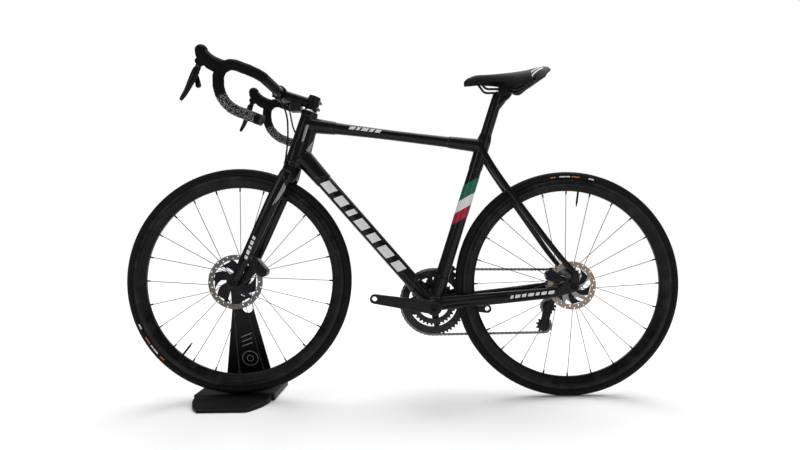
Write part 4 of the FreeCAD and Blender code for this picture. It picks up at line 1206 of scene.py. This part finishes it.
def build_stand():
    """Tray skin, and two rings and three slanted lines on the upright."""
    soft_copy(["stand_base"], "stand_base_skin", "stand", "stand_black", 0.0016, 5)
    middle = (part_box("stand_base")[0].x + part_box("stand_base")[1].x) / 2
    parts = []
    for radius in (0.025, 0.010):
        turns = [math.radians(10 * n) for n in range(37)]
        ring = [(middle + 0.008 + radius * math.cos(a), 0.080 + radius * math.sin(a)) for a in turns]
        parts.append(line_on_plate(ring, 0.0022))
    for k in range(3):
        foot = 0.122 + 0.016 * k
        parts.append(line_on_plate([(middle - 0.014, foot), (middle + 0.020, foot + 0.014)], 0.0024))
    add_shape("stand_lines", gather(parts), "stand", "grey_line", "stand_black")


# ---- studio

def stage(obj):
    bpy.context.scene.collection.objects.link(obj)


def build_floor():
    corners = [(-30, -12, 0), (30, -12, 0), (30, 40, 0), (-30, 40, 0)]
    mesh = from_lists("floor", corners, [(0, 1, 2, 3)])
    tree, shader = node_tree("floor_paper")
    patches = noise(tree, object_coords(tree), 3.0)
    shades = [(0.3, (0.90, 0.90, 0.90)), (0.7, (0.92, 0.92, 0.92))]
    tree.links.new(ramp(tree, patches, shades), shader.inputs["Base Color"])
    set_inputs(shader, {"Roughness": 0.9, "Specular IOR Level": 0.1})
    mesh.materials.append(MAT["floor_paper"])
    stage(bpy.data.objects.new("floor", mesh))


def build_room():
    """White paper to the camera, and a dim room as a source of light."""
    world = bpy.data.worlds.new("studio")
    world.use_nodes = True
    sky = world.node_tree
    seen = sky.nodes.new("ShaderNodeLightPath")
    paper, lit = sky.nodes["Background"], sky.nodes.new("ShaderNodeBackground")
    paper.inputs["Strength"].default_value = PAPER_BRIGHTNESS
    lit.inputs["Strength"].default_value = ROOM_BRIGHTNESS
    for node in (paper, lit):
        node.inputs["Color"].default_value = (1, 1, 1, 1)
    chooser = sky.nodes.new("ShaderNodeMixShader")
    sky.links.new(seen.outputs["Is Camera Ray"], chooser.inputs["Fac"])
    sky.links.new(lit.outputs["Background"], chooser.inputs[1])
    sky.links.new(paper.outputs["Background"], chooser.inputs[2])
    sky.links.new(chooser.outputs["Shader"], sky.nodes["World Output"].inputs["Surface"])
    bpy.context.scene.world = world
    bpy.context.scene.view_settings.view_transform = "Standard"


def build_lights():
    sun = bpy.data.lights.new("ceiling", "SUN")
    sun.energy = CEILING
    sun.angle = math.radians(CEILING_SPREAD)
    ceiling = bpy.data.objects.new("ceiling", sun)
    ceiling.rotation_euler = Euler((math.radians(-12), math.radians(8), 0))
    stage(ceiling)
    for name, spot, size, power in (
        ("key", (-2.2, -2.6, 2.0), 1.4, 15),
        ("fill", (2.4, -2.4, 1.2), 1.2, 9),
        ("back", (0.2, 2.8, 2.2), 2.0, 20),
    ):
        light = bpy.data.lights.new(name, "AREA")
        light.energy = power
        light.size = size
        lamp = bpy.data.objects.new(name, light)
        lamp.location = spot
        lamp.rotation_euler = (Vector(AIM) - Vector(spot)).to_track_quat("-Z", "Y").to_euler()
        stage(lamp)


def build_camera():
    """Wide-angle view from the near side, at half the height of the bicycle."""
    data = bpy.data.cameras.new("camera")
    data.sensor_width = 36
    data.lens = 22.74
    data.shift_x = -0.0321
    data.shift_y = -0.0053
    data.clip_end = 200
    camera = bpy.data.objects.new("camera", data)
    pose = Matrix.Translation(CAMERA_AT)
    for angle, axis in CAMERA_TURNS:
        pose = pose @ Matrix.Rotation(math.radians(angle), 4, axis)
    camera.matrix_world = pose
    bpy.context.scene.collection.objects.link(camera)
    bpy.context.scene.camera = camera


build_frame()
build_cockpit()
build_drive()
build_brakes()
build_saddle()
build_wheels()
build_hoses()
build_stand()
build_floor()
build_room()
build_lights()
build_camera()
